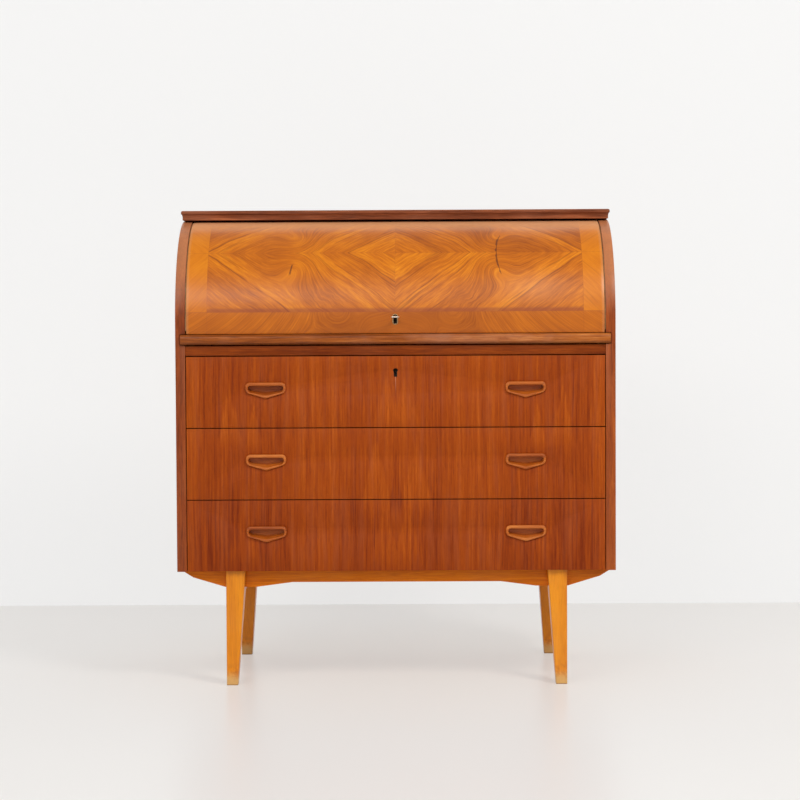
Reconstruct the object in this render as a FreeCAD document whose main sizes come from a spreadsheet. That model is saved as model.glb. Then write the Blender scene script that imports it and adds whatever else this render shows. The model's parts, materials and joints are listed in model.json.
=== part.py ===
"""A roll top secretary desk in teak on a pale wood base, modelled piece by piece.

The row frame has +Z up, +X to the right as the user sees the desk, and +Y to the back. The origin
is on the floor, midway between the sides, and midway between the key's bow and the back edges.
All lengths are in millimetres and all angles in degrees.

A rigid quarter cylinder of moulded plywood closes the writing space. Tongues along its two ends run
in curved grooves in the side panels, so it rolls up, over and behind the fitted insert. Under it a
writing slide pulls out, and three drawers hang on runners below. A lock in the cylinder's lower edge
throws its bolt down into the slide, and one in the top drawer throws its bolt up into the rail.
"""

import FreeCAD, Part

import math
import os

import Sketcher
from FreeCAD import Placement, Rotation, Vector

driving_sizes = (
    # the case
    ("case_width", 900, "across the outside of the side panels"),
    ("case_depth", 460, "front edges to back edges of the side panels"),
    ("side_thickness", 20, "side panels"),
    ("leg_height", 236.5, "floor to the underside of the case"),
    ("bottom_thickness", 18, "case bottom"),
    ("back_thickness", 6, "back panel"),
    ("back_inset", 2, "back panel inside the back edges of the sides"),
    ("overrun", 2, "how far a cutter runs past the face that it cuts"),
    # the top board
    ("board_thickness", 20, "top board"),
    ("board_setback", 165, "its front lip behind the front plane"),
    ("board_overhang", 3.5, "its lip past the side panels"),
    ("board_lip_height", 7, "the lip above the cove"),
    ("board_lip_round", 3, "rounding of the lip's upper edge"),
    ("board_fillet_height", 4.5, "the straight band below the cove"),
    # the writing slide and the rail below it
    ("rail_height", 19.8, "front rail"),
    ("rail_thickness", 20, "front rail"),
    ("rail_recess", 2, "front rail behind the front plane"),
    ("lip_gap", 2.5, "rail to slide lip"),
    ("lip_height", 21, "slide lip"),
    ("lip_reach", 9, "slide lip ahead of the front plane"),
    ("lip_depth", 16, "slide lip, front to back"),
    ("lip_round", 9.5, "radius of the lip's nose"),
    ("lip_housing", 9.5, "each lip end inside a side panel's front edge"),
    ("housing_slack", 1, "round the lip in its housings"),
    ("slide_thickness", 18, "writing slide"),
    ("slide_back_gap", 22, "writing slide to the back panel"),
    ("slide_drop", 1, "writing surface below the top of the lip"),
    ("slide_side_gap", 1, "writing slide to each side panel"),
    ("slide_travel", 250, "how far the writing slide pulls out"),
    ("stop_width", 120, "stop block under the slide"),
    ("stop_depth", 20, "stop block, front to back"),
    ("stop_height", 12, "stop block"),
    ("stop_slack", 3, "stop block to the rail when pulled out"),
    # the cylinder
    ("axis_rise", 22.5, "cylinder axis above the slide lip"),
    ("shell_radius", 216.5, "outside of the cylinder shell"),
    ("shell_thickness", 13, "cylinder shell"),
    ("shell_inset", 1, "shell inside the curve of the side panels"),
    ("shell_floor_gap", 1, "shell's lower edge above the slide lip"),
    ("shell_side_gap", 2.5, "shell to each side panel"),
    ("shell_top_angle", 90, "shell ends this far above level"),
    ("tongue_thickness", 4.6, "end tongues"),
    ("tongue_reach", 6, "end tongues out of the shell and gap, into the groove"),
    ("tongue_seat", 8, "end tongues let into the shell"),
    ("tongue_end_angle", 1, "tongues stop this far short of the shell's ends"),
    ("groove_slack", 0.5, "tongue to each wall of its groove"),
    ("groove_depth", 7, "grooves in the side panels"),
    ("groove_low_angle", 5, "grooves begin this far below level"),
    ("groove_top_angle", 161, "grooves end this far above level in front"),
    # locks and key
    ("lock_width", 60, "lock cases"),
    ("lock_height", 49, "lock cases"),
    ("lock_thickness", 12, "lock cases"),
    ("lock_letting", 4, "how far the cylinder's lock is let into the shell"),
    ("lock_edge_gap", 1.5, "lock case to the edge that its bolt leaves"),
    ("cylinder_lock_axis", 32, "key axis above the edge that the bolt leaves"),
    ("drawer_lock_axis", 27.6, "key axis below the edge that the bolt leaves"),
    ("lock_wall", 2, "lock case walls before and behind the works"),
    ("works_radius", 10, "round chamber that the key's bit turns in"),
    ("bolt_width", 14, "bolts"),
    ("bolt_thickness", 5, "bolts"),
    ("bolt_slack", 0.4, "bolt in its channel"),
    ("bolt_travel", 8, "bolts thrown out of the lock"),
    ("bolt_clearance", 0.6, "bolt to the round chamber"),
    ("keyhole_radius", 4, "round top of a keyhole"),
    ("keyhole_slot", 5.2, "width of a keyhole's slot"),
    ("keyhole_length", 13.5, "key axis to the bottom of the slot"),
    ("shank_radius", 2.2, "key shank"),
    ("collar_radius", 3.4, "key collar"),
    ("collar_length", 3, "key collar"),
    ("bit_reach", 8, "key bit from the key's axis"),
    ("bit_length", 5, "key bit along the key"),
    ("bit_thickness", 2, "key bit"),
    ("bow_width", 18, "key bow across"),
    ("bow_thickness", 2.6, "key bow"),
    ("bow_rim", 3.4, "metal round the hole in the bow"),
    ("bow_round", 5.4, "corners of the bow"),
    ("key_reach", 24, "key bow's tip ahead of the front plane"),
    ("key_stem", 14, "shell to the bow of the key"),
    ("key_end_gap", 1, "shank's end to the back of the lock's works"),
    ("escutcheon_width", 12, "escutcheon"),
    ("escutcheon_length", 22, "escutcheon"),
    ("escutcheon_proud", 0.8, "escutcheon ahead of the wood"),
    ("escutcheon_seat", 1.5, "escutcheon let into the wood"),
    ("strike_width", 40, "strike plate"),
    ("strike_depth", 14, "strike plate"),
    ("strike_thickness", 1.5, "strike plate"),
    ("strike_slack", 1.5, "mortises round and past a thrown bolt"),
    # the drawers
    ("drawer_pitch", 147.4, "from one drawer to the next"),
    ("drawer_gap", 2, "between the drawer fronts"),
    ("front_thickness", 20, "drawer fronts"),
    ("front_recess", 1, "drawer fronts behind the front plane"),
    ("front_side_gap", 1.5, "drawer fronts to the side panels"),
    ("drawer_side_thickness", 14, "drawer sides"),
    ("drawer_side_height", 112, "drawer sides"),
    ("drawer_back_gap", 21, "drawer sides to the back panel"),
    ("drawer_side_rise", 20, "drawer sides above the front's lower edge"),
    ("drawer_back_thickness", 12, "drawer backs"),
    ("drawer_back_drop", 10, "drawer backs below the tops of the sides"),
    ("drawer_bottom_thickness", 5, "drawer bottoms"),
    ("drawer_bottom_rise", 8, "drawer bottoms above the lower edges of the sides"),
    ("drawer_bottom_seat", 5, "drawer bottoms inside the grooves of the sides"),
    ("bottom_groove_slack", 0.2, "drawer bottom in its grooves"),
    ("runner_height", 14, "drawer runners"),
    ("runner_reach", 9, "drawer runners out of the side panels"),
    ("runner_rise", 49, "drawer runners above the lower edges of the drawer sides"),
    ("runner_slack", 0.5, "runner in its groove"),
    ("runner_start", 30, "runners behind the front plane"),
    ("runner_back_gap", 22, "runners to the back panel"),
    ("slide_runner_width", 14, "runners under the writing slide"),
    ("slide_runner_height", 14, "runners under the writing slide"),
    ("slide_runner_gap", 0.4, "runner to the writing slide"),
    # the pulls
    ("pull_inset", 184, "middle of a pull to the side of the case"),
    ("pull_drop", 53, "top of a pull below the top of its front"),
    ("pull_width", 83, "pulls"),
    ("pull_height", 32.5, "pulls, to the point"),
    ("pull_corner", 8, "radius of the upper corners"),
    ("pull_shoulder_in", 7, "lower corners inside the widest place"),
    ("pull_cheek", 17, "radius between widest place and lower corner"),
    ("pull_rim", 6.5, "rim round the finger hole"),
    ("pull_proud", 5, "rim ahead of the drawer front"),
    ("pull_bevel", 1.4, "bevel round the front of the rim"),
    ("pull_plug_inset", 1.5, "plug behind the rim, inside the outline"),
    ("pull_plug_slack", 0.2, "plug in its hole"),
    ("pull_wall", 2.5, "floor of the finger hole"),
    ("pull_plug_short", 2, "plug short of the front's back face"),
    ("pull_hook", 3, "finger hole cut up behind the upper rim"),
    ("pull_hook_start", 3.5, "thickness left in front of that cut"),
    ("pull_hook_width", 60, "that cut across"),
    # the base
    ("leg_inset", 99, "outer faces of the legs to the sides of the case"),
    ("leg_top_width", 40, "legs at the case"),
    ("leg_foot_width", 23, "legs at the floor"),
    ("leg_top_depth", 60, "legs at the case"),
    ("leg_foot_depth", 29, "legs at the floor"),
    ("leg_front_setback", 12, "front legs behind the front plane"),
    ("leg_rear_setback", 16, "rear legs ahead of the back edges"),
    ("leg_round", 2.5, "rounding of the legs' long edges"),
    ("apron_setback", 18, "aprons behind the legs' faces"),
    ("apron_thickness", 20, "aprons"),
    ("apron_depth", 25.5, "aprons at mid width"),
    ("apron_leg_depth", 35, "aprons at the legs"),
    ("apron_end_inset", 6, "aprons' ends inside the case"),
    ("apron_toe_depth", 15, "aprons at the kink near the ends"),
    ("apron_toe_inset", 30, "that kink inside the case"),
    ("apron_swell", 73, "length of the slope inside each leg"),
    ("joint_slack", 0.1, "bridle joints between legs and aprons"),
    ("base_rail_thickness", 22, "side rails of the base"),
    ("base_rail_inset", 4, "side rails inside the legs' outer faces"),
    ("base_rail_end_depth", 86, "side rails where they meet the legs"),
    ("base_rail_middle_depth", 64, "side rails at mid length"),
    ("screw_radius", 2.25, "base screws"),
    ("screw_head_radius", 4.2, "base screws"),
    ("screw_head_height", 3, "base screws"),
    ("screw_length", 36, "base screws"),
    ("screw_inset", 250, "outer base screws inside the case's sides"),
    ("screw_slack", 0.15, "screws in their holes"),
    ("screw_sink", 0.5, "screw heads above the apron's edge"),
    # the fitted insert
    ("insert_setback", 182, "insert behind the front plane"),
    ("insert_depth", 178, "insert, front to back"),
    ("insert_gap", 2.5, "insert above the writing surface"),
    ("insert_side_gap", 0.5, "insert to the side panels"),
    ("insert_floor_thickness", 10, "insert floor"),
    ("insert_board_thickness", 8, "other boards of the insert"),
    ("insert_height", 147, "insert"),
    ("insert_back_thickness", 5, "insert back"),
    ("stack_width", 186.5, "inside each drawer stack"),
    ("bearer_thickness", 6, "bearers between the small drawers"),
    ("shelf_rise", 62, "shelf above the insert floor"),
    ("partition_thickness", 6, "pigeonhole partitions"),
    ("nest_recess", 3, "shelf and partitions behind the insert's front"),
    # the small drawers
    ("tray_gap", 1.5, "small drawers in their stack"),
    ("tray_lift", 0.8, "small drawers above their bearers"),
    ("tray_front_thickness", 10, "small drawer fronts"),
    ("tray_wall", 6, "small drawer sides and backs"),
    ("tray_floor", 4, "small drawer bottoms"),
    ("tray_side_drop", 8, "small drawer sides below the top of the front"),
    ("tray_length", 150, "small drawer sides"),
    ("tray_recess", 2, "small drawer fronts behind the insert's front"),
    ("knob_radius", 7.5, "knobs"),
    ("knob_reach", 14, "knobs out of the fronts"),
    ("knob_neck_radius", 4, "knob necks"),
    ("knob_neck_length", 6, "knob necks"),
)
drawer_count = 3
trays_per_stack = 2

doc = FreeCAD.newDocument("roll_top_desk")
sheet = doc.addObject("Spreadsheet::Sheet", "sizes")


class Size:
    """A length or angle with its present value and the sheet expression that gives it."""

    def __init__(self, value, text):
        self.value = value
        self.text = text

    def __add__(self, other):
        other = as_size(other)
        return Size(self.value + other.value, f"({self.text} + {other.text})")

    def __radd__(self, other):
        return as_size(other) + self

    def __sub__(self, other):
        other = as_size(other)
        return Size(self.value - other.value, f"({self.text} - {other.text})")

    def __rsub__(self, other):
        return as_size(other) - self

    def __mul__(self, other):
        other = as_size(other)
        return Size(self.value * other.value, f"({self.text} * {other.text})")

    __rmul__ = __mul__

    def __truediv__(self, other):
        other = as_size(other)
        return Size(self.value / other.value, f"({self.text} / {other.text})")

    def __neg__(self):
        return Size(-self.value, f"(0 - {self.text})")


def as_size(thing):
    return thing if isinstance(thing, Size) else Size(float(thing), repr(float(thing)))


def root_of_difference(hypotenuse, leg):
    """The third side of a right triangle."""
    value = (hypotenuse.value**2 - leg.value**2) ** 0.5
    return Size(value, f"sqrt({hypotenuse.text} ^ 2 - {leg.text} ^ 2)")


class Named:
    """The driving sizes as attributes, such as s.case_width."""


s = Named()
for row, (alias, value, note) in enumerate(driving_sizes, start=1):
    sheet.set(f"A{row}", alias)
    sheet.set(f"B{row}", str(value))
    sheet.set(f"C{row}", note)
    sheet.setAlias(f"B{row}", alias)
    setattr(s, alias, Size(float(value), f"sizes.{alias}"))
doc.recompute()

pieces = {}


def piece(name, thing):
    """Makes thing the sub-part of that name."""
    thing.Label = name
    pieces[name] = thing
    return thing


# Drawing helpers


def bind(thing, **formulas):
    for prop, size in formulas.items():
        thing.setExpression(prop.replace("__", "."), as_size(size).text)


def block(name, x, y, z):
    """A box from the low to the high value along each axis."""
    box = doc.addObject("Part::Box", name)
    (x0, x1), (y0, y1), (z0, z1) = x, y, z
    bind(box, Length=as_size(x1) - x0, Width=as_size(y1) - y0, Height=as_size(z1) - z0)
    bind(box, Placement__Base__x=x0, Placement__Base__y=y0, Placement__Base__z=z0)
    return box


along_y = Rotation(Vector(1, 0, 0), -90)
along_z = Rotation()


def rod(name, radius, length, x, y, z, turn=along_y):
    """A round bar that starts at a point and runs along +Y or +Z."""
    bar = doc.addObject("Part::Cylinder", name)
    bar.Placement = Placement(Vector(), turn)
    bind(bar, Radius=radius, Height=length)
    bind(bar, Placement__Base__x=x, Placement__Base__y=y, Placement__Base__z=z)
    return bar


def cut(name, base, *tools):
    result = doc.addObject("Part::Cut", name)
    result.Base = base
    result.Tool = tools[0] if len(tools) == 1 else fuse(name + "_cutters", *tools)
    return result


def fuse(name, *shapes):
    result = doc.addObject("Part::MultiFuse", name)
    result.Shapes = list(shapes)
    return result


def group(name, *solids):
    """Separate solids in one sub-part."""
    result = doc.addObject("Part::Compound", name)
    result.Links = list(solids)
    return result


def arc_centre(x0, y0, x1, y1, radius, turns_left):
    """The centre of an arc of under a half circle between two points."""
    dx, dy = x1 - x0, y1 - y0
    chord = math.hypot(dx, dy)
    rise = math.sqrt(max(radius * radius - chord * chord / 4, 0.0))
    side = 1 if turns_left else -1
    return (x0 + x1) / 2 - side * rise * dy / chord, (y0 + y1) / 2 + side * rise * dx / chord


def draw(sketch, outline):
    """Draws a closed outline. Each entry is (x, y) for a line that ends there, or
    (x, y, radius, turns_left) for an arc that ends there. Every place and radius is bound to the sheet."""
    corners = [(as_size(entry[0]), as_size(entry[1])) for entry in outline]
    ends = []
    for i, entry in enumerate(outline):
        (x0, y0), (x1, y1) = corners[i - 1], corners[i]
        if len(entry) == 2:
            start, end = Vector(x0.value, y0.value, 0), Vector(x1.value, y1.value, 0)
            edge = sketch.addGeometry(Part.LineSegment(start, end), False)
            ends.append((edge, 1, 2))
            continue
        radius, turns_left = as_size(entry[2]), entry[3]
        cx, cy = arc_centre(x0.value, y0.value, x1.value, y1.value, radius.value, turns_left)
        first, last = ((x0, y0), (x1, y1)) if turns_left else ((x1, y1), (x0, y0))
        angles = [math.atan2(p[1].value - cy, p[0].value - cx) for p in (first, last)]
        circle = Part.Circle(Vector(cx, cy, 0), Vector(0, 0, 1), radius.value)
        edge = sketch.addGeometry(Part.ArcOfCircle(circle, *angles), False)
        ends.append((edge, 1, 2) if turns_left else (edge, 2, 1))
        held = sketch.addConstraint(Sketcher.Constraint("Radius", edge, radius.value))
        sketch.setExpression(f"Constraints[{held}]", radius.text)
    for i, (edge, start, end) in enumerate(ends):
        after, after_start, _ = ends[(i + 1) % len(ends)]
        sketch.addConstraint(Sketcher.Constraint("Coincident", edge, end, after, after_start))
        for kind, size in zip(("DistanceX", "DistanceY"), corners[i]):
            held = sketch.addConstraint(
                Sketcher.Constraint(kind, -1, 1, edge, end, size.value)
            )
            sketch.setExpression(f"Constraints[{held}]", size.text)


def sketch_on(body, plane, name, outline, offset=0):
    """A sketch on one of the body's own planes. Offset is along the plane's normal."""
    sketch = body.newObject("Sketcher::SketchObject", name)
    base = next(f for f in body.Origin.OriginFeatures if f.Role == plane)
    sketch.AttachmentSupport = (base, [""])
    sketch.MapMode = "FlatFace"
    bind(sketch, AttachmentOffset__Base__z=offset)
    draw(sketch, outline)
    return sketch


def on_circle(radius, angle):
    """The y and z of a point round the cylinder's axis, by its angle above level in front."""
    turn = math.radians(angle.value)
    across = Size(math.cos(turn), f"cos({angle.text} * 1deg)")
    up = Size(math.sin(turn), f"sin({angle.text} * 1deg)")
    return axis_y - radius * across, axis_z + radius * up


def ring(name, inside, outside, low, high, x0, x1):
    """A curved strip about the cylinder's axis, between two radii, two angles and two values of x."""
    outline = [
        on_circle(outside, low),
        (*on_circle(outside, high), outside, False),
        on_circle(inside, high),
        (*on_circle(inside, low), inside, True),
    ]
    return slab(name, "YZ_Plane", outline, as_size(x1) - x0, x0)


def slab(name, plane, outline, thickness, offset=0):
    """A body with one pad, which grows along the plane's normal from the offset."""
    body = doc.addObject("PartDesign::Body", name)
    pad = body.newObject("PartDesign::Pad", name + "_pad")
    pad.Profile = sketch_on(body, plane, name + "_outline", outline, offset)
    bind(pad, Length=thickness)
    body.Tip = pad
    return body


def pocket(body, plane, name, outline, depth, offset=0):
    """Cuts an outline into the body, against the plane's normal."""
    hole = body.newObject("PartDesign::Pocket", name)
    hole.Profile = sketch_on(body, plane, name + "_outline", outline, offset)
    bind(hole, Length=depth)
    body.Tip = hole
    return hole


def round_edges(body, name, radius, wanted):
    """Rounds the edges of the body's tip for which wanted(edge) is true."""
    doc.recompute()
    base = body.Tip
    found = [f"Edge{i}" for i, e in enumerate(base.Shape.Edges, start=1) if wanted(e)]
    fillet = body.newObject("PartDesign::Fillet", name)
    fillet.Base = (base, found)
    bind(fillet, Radius=radius)
    body.Tip = fillet
    return fillet


def tapered(name, plane, sections):
    """A body lofted straight from each (outline, offset) to the next."""
    body = doc.addObject("PartDesign::Body", name)
    sketches = [
        sketch_on(body, plane, f"{name}_section_{i}", outline, offset)
        for i, (outline, offset) in enumerate(sections)
    ]
    loft = body.newObject("PartDesign::AdditiveLoft", name + "_loft")
    loft.Profile = sketches[0]
    loft.Sections = sketches[1:]
    loft.Ruled = True
    body.Tip = loft
    return body


# Places that several pieces share

half_width = s.case_width / 2
inner = half_width - s.side_thickness
front = -(s.case_depth - s.key_reach) / 2
back = front + s.case_depth
back_face = back - s.back_inset - s.back_thickness
drawers_top = s.leg_height + s.drawer_pitch * drawer_count
rail_low = drawers_top + s.drawer_gap / 2
rail_top = rail_low + s.rail_height
lip_low = rail_top + s.lip_gap
lip_top = lip_low + s.lip_height
axis_y = front + s.shell_radius + s.shell_inset
axis_z = lip_top + s.axis_rise
side_curve = s.shell_radius + s.shell_inset
board_low = axis_z + side_curve
shell_low = lip_top + s.shell_floor_gap
tongue_radius = s.shell_radius - s.shell_thickness / 2
shell_half = inner - s.shell_side_gap
shell_face = front + s.shell_inset
surface = lip_top - s.slide_drop
slide_low = surface - s.slide_thickness
slide_front = front - s.lip_reach + s.lip_depth
both_hands = (("left", -1), ("right", 1))


def span(hand, near, far):
    """The low and high x of a piece between two distances from the middle, on one hand."""
    return (as_size(near), as_size(far)) if hand > 0 else (-as_size(far), -as_size(near))


# The case


def side_panel(name, hand):
    """One side: straight front edge, then the curve that the cylinder follows, up to the top board."""
    outline = [
        (front, s.leg_height),
        (back, s.leg_height),
        (back, board_low),
        (axis_y, board_low),
        (front, axis_z, side_curve, True),
    ]
    x0, x1 = span(hand, inner, half_width)
    body = slab(name, "YZ_Plane", outline, s.side_thickness, x0)
    face = block(
        name + "_lip_housing",
        span(hand, inner - s.overrun, inner + s.lip_housing + s.housing_slack),
        (front - s.overrun, slide_front + s.housing_slack),
        (lip_low - s.housing_slack, lip_top + s.housing_slack),
    )
    half_groove = s.tongue_thickness / 2 + s.groove_slack
    groove = ring(
        name + "_groove",
        tongue_radius - half_groove,
        tongue_radius + half_groove,
        -s.groove_low_angle,
        s.groove_top_angle,
        *span(hand, inner - s.overrun, inner + s.groove_depth),
    )
    return cut(name + "_cut", body, face, groove)


def top_board():
    """A board with a lip, a cove and a straight band along its front and both ends."""
    lip_y = front + s.board_setback
    half = half_width + s.board_overhang
    outline = [(-half, lip_y), (half, lip_y), (half, back), (-half, back)]
    body = slab("top_board", "XY_Plane", outline, s.board_thickness, board_low)
    middle_z = board_low.value + s.board_thickness.value / 2
    middle_y = (lip_y.value + back.value) / 2
    round_edges(
        body,
        "lip_rounding",
        s.board_lip_round,
        lambda e: min(v.Z for v in e.Vertexes) > middle_z and min(v.Y for v in e.Vertexes) < middle_y,
    )
    past = s.board_thickness
    cove_low = board_low + s.board_fillet_height
    cove_top = board_low + s.board_thickness - s.board_lip_height
    bow = s.board_thickness - s.board_lip_height
    front_cove = [
        (lip_y - past, board_low - past),
        (lip_y + s.board_overhang, board_low - past),
        (lip_y + s.board_overhang, cove_low),
        (lip_y, cove_top, bow, False),
        (lip_y - past, cove_top),
    ]
    front_pocket = pocket(body, "YZ_Plane", "front_cove", front_cove, s.case_width * 2)
    front_pocket.Midplane = True
    end_cove = [
        (half + past, board_low - past),
        (half + past, cove_top),
        (half, cove_top),
        (half - s.board_overhang, cove_low, bow, False),
        (half - s.board_overhang, board_low - past),
    ]
    end_pocket = pocket(body, "XZ_Plane", "end_cove", end_cove, s.case_depth * 2)
    end_pocket.Midplane = True
    other_end = body.newObject("PartDesign::Mirrored", "other_end_cove")
    other_end.Originals = [end_pocket]
    middle = next(f for f in body.Origin.OriginFeatures if f.Role == "YZ_Plane")
    other_end.MirrorPlane = (middle, [""])
    body.Tip = other_end
    return body


def screw_places():
    """The three screws of each apron: (name, x, y)."""
    spacing = half_width - s.screw_inset
    for end, y in (("front", front_apron_y), ("rear", rear_apron_y)):
        for n in (-1, 0, 1):
            yield f"{end}_{n + 1}", spacing * n, y + s.apron_thickness / 2


def screw_hole(name, x, y):
    """The clearance round one base screw."""
    low = screw_foot + s.screw_sink
    shank = rod(
        name + "_shank_hole",
        s.screw_radius + s.screw_slack,
        s.screw_length + s.screw_slack,
        x,
        y,
        low,
        along_z,
    )
    head = rod(
        name + "_head_hole",
        s.screw_head_radius + s.screw_slack,
        s.screw_sink + s.screw_head_height + s.screw_slack + s.overrun,
        x,
        y,
        screw_foot - s.overrun,
        along_z,
    )
    return fuse(name + "_hole", shank, head)


leg_face_front = front + s.leg_front_setback
leg_face_rear = back - s.leg_rear_setback
front_apron_y = leg_face_front + s.apron_setback
rear_apron_y = leg_face_rear - s.apron_setback - s.apron_thickness
screw_foot = s.leg_height - s.apron_depth


def case_bottom():
    board = block(
        "case_bottom_board",
        (-inner, inner),
        (front + s.front_recess + s.front_thickness, back_face),
        (s.leg_height, s.leg_height + s.bottom_thickness),
    )
    holes = [screw_hole("bottom_" + n, x, y) for n, x, y in screw_places()]
    return cut("case_bottom_drilled", board, *holes)


def back_panel():
    return block(
        "back_board",
        (-inner, inner),
        (back_face, back - s.back_inset),
        (s.leg_height, board_low),
    )


def front_rail():
    """The rail under the slide, with the mortise that takes the top drawer's bolt."""
    near = front + s.rail_recess
    rail = block(
        "front_rail_bar", (-inner, inner), (near, near + s.rail_thickness), (rail_low, rail_top)
    )
    bolt_y = drawer_lock_back - s.lock_thickness / 2
    mortise = block(
        "front_rail_mortise",
        (-s.bolt_width / 2 - s.strike_slack, s.bolt_width / 2 + s.strike_slack),
        (bolt_y - s.bolt_thickness / 2 - s.strike_slack, bolt_y + s.bolt_thickness / 2 + s.strike_slack),
        (rail_low - s.overrun, rail_low + s.bolt_travel + s.strike_slack),
    )
    return cut("front_rail_cut", rail, mortise)


def runners():
    """Six drawer runners and two that carry the writing slide."""
    bars = []
    length = (front + s.runner_start, back_face - s.runner_back_gap)
    for side, hand in both_hands:
        for n in range(drawer_count):
            low = s.leg_height + s.drawer_gap / 2 + s.drawer_pitch * n + s.drawer_side_rise + s.runner_rise
            bars.append(
                block(
                    f"runner_{side}_{n}",
                    span(hand, inner - s.runner_reach, inner),
                    length,
                    (low, low + s.runner_height),
                )
            )
        top = slide_low - s.slide_runner_gap
        bars.append(
            block(
                f"slide_runner_{side}",
                span(hand, inner - s.slide_runner_width, inner),
                length,
                (top - s.slide_runner_height, top),
            )
        )
    return group("runner_set", *bars)


# The base


def rounded_oblong(x0, x1, y0, y1, r):
    """The outline of an oblong with rounded corners."""
    return [
        (x1 - r, y0),
        (x1, y0 + r, r, True),
        (x1, y1 - r),
        (x1 - r, y1, r, True),
        (x0 + r, y1),
        (x0, y1 - r, r, True),
        (x0, y0 + r),
        (x0 + r, y0, r, True),
    ]


def leg(name, hand, rear):
    """A leg that tapers on its inner faces, slotted over its apron. Hand is -1 on the left."""
    outer = half_width - s.leg_inset
    face = leg_face_rear if rear else leg_face_front
    sections = []
    for width, depth, z in (
        (s.leg_foot_width, s.leg_foot_depth, as_size(0)),
        (s.leg_top_width, s.leg_top_depth, s.leg_height),
    ):
        x0, x1 = span(hand, outer - width, outer)
        y0, y1 = (face - depth, face) if rear else (face, face + depth)
        sections.append((rounded_oblong(x0, x1, y0, y1, s.leg_round), z))
    body = tapered(name + "_body", "XY_Plane", sections)
    apron_y = rear_apron_y if rear else front_apron_y
    slot = block(
        name + "_slot",
        (-half_width, half_width),
        (apron_y - s.joint_slack, apron_y + s.apron_thickness + s.joint_slack),
        (s.leg_height - s.apron_leg_depth - s.joint_slack, s.leg_height + s.overrun),
    )
    return body, cut(name + "_slotted", body, slot)


def apron(name, y):
    """A shaped rail across the desk, deepest where it passes through the legs."""
    end = half_width - s.apron_end_inset
    toe = half_width - s.apron_toe_inset
    leg_out = half_width - s.leg_inset + s.leg_round
    leg_in = half_width - s.leg_inset - s.leg_top_width - s.leg_foot_width
    flat = leg_in - s.apron_swell
    top = s.leg_height
    right = [
        (end, top),
        (toe, top - s.apron_toe_depth),
        (leg_out, top - s.apron_leg_depth),
        (leg_in, top - s.apron_leg_depth),
        (flat, top - s.apron_depth),
    ]
    outline = right + [(-x, z) for x, z in reversed(right)]
    # The sketch plane's normal points to the front, so the pad grows from the back face.
    body = slab(name, "XZ_Plane", outline, s.apron_thickness, -(y + s.apron_thickness))
    here = name.split("_")[1]
    holes = [screw_hole(f"{name}_{n}", x, at) for n, x, at in screw_places() if n.startswith(here)]
    return cut(name + "_drilled", body, *holes)


def base_rail(name, hand, front_leg, rear_leg):
    """A side rail with an arched lower edge, cut to the taper of the legs."""
    y0, y1 = leg_face_front + s.leg_foot_depth, leg_face_rear - s.leg_foot_depth
    low = s.leg_height - s.base_rail_end_depth
    rise = s.base_rail_end_depth - s.base_rail_middle_depth
    half = (y1 - y0) / 2
    bend = (half * half + rise * rise) / (rise * 2)
    outline = [
        (y0, s.leg_height),
        (y0, low),
        (y1, low, bend, False),
        (y1, s.leg_height),
    ]
    outer = half_width - s.leg_inset - s.base_rail_inset
    start = span(hand, outer - s.base_rail_thickness, outer)[0]
    body = slab(name, "YZ_Plane", outline, s.base_rail_thickness, start)
    slots = [
        block(
            f"{name}_{end}_notch",
            (-half_width, half_width),
            (y - s.joint_slack, y + s.apron_thickness + s.joint_slack),
            (s.leg_height - s.apron_leg_depth - s.joint_slack, s.leg_height + s.overrun),
        )
        for end, y in (("front", front_apron_y), ("rear", rear_apron_y))
    ]
    return cut(name + "_shouldered", body, front_leg, rear_leg, *slots)


def base_screws():
    """Countersunk screws up through the aprons into the case bottom."""
    screws = []
    for n, x, y in screw_places():
        low = screw_foot + s.screw_sink
        shank = rod(f"screw_{n}_shank", s.screw_radius, s.screw_length, x, y, low, along_z)
        head = rod(f"screw_{n}_head", s.screw_head_radius, s.screw_head_height, x, y, low, along_z)
        screws.append(fuse(f"screw_{n}", shank, head))
    return group("screw_set", *screws)


# The writing slide


def slide_lip():
    """The nosed lip, whose ends run out into the front edges of the side panels."""
    y0, y1 = front - s.lip_reach, slide_front
    r = s.lip_round
    outline = [
        (y1, lip_low),
        (y1, lip_top),
        (y0 + r, lip_top),
        (y0, lip_top - r, r, True),
        (y0, lip_low + r),
        (y0 + r, lip_low, r, True),
    ]
    half = inner + s.lip_housing
    return slab("slide_lip", "YZ_Plane", outline, half * 2, -half)


cylinder_lock_y = shell_face + s.shell_thickness - s.lock_letting
cylinder_bolt_y = cylinder_lock_y + s.lock_thickness / 2
cylinder_key_z = shell_low + s.lock_edge_gap + s.cylinder_lock_axis
escutcheon_z = cylinder_key_z - (s.keyhole_length - s.keyhole_radius) / 2


def writing_slide():
    """The sliding board, with a housing for the strike plate and a mortise under it."""
    half = inner - s.slide_side_gap
    board = block(
        "slide_board", (-half, half), (slide_front, back_face - s.slide_back_gap), (slide_low, surface)
    )
    seat = block(
        "strike_seat",
        (-s.strike_width / 2, s.strike_width / 2),
        (cylinder_bolt_y - s.strike_depth / 2, cylinder_bolt_y + s.strike_depth / 2),
        (surface - s.strike_thickness, surface + s.overrun),
    )
    return cut("slide_board_cut", board, seat, bolt_hole("slide_mortise"))


def bolt_hole(name):
    """The hole in the strike that the cylinder's bolt drops into."""
    half, reach = s.bolt_width / 2 + s.strike_slack, s.bolt_thickness / 2 + s.strike_slack
    return block(
        name,
        (-half, half),
        (cylinder_bolt_y - reach, cylinder_bolt_y + reach),
        (surface - s.bolt_travel - s.strike_slack, surface + s.overrun),
    )


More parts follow.
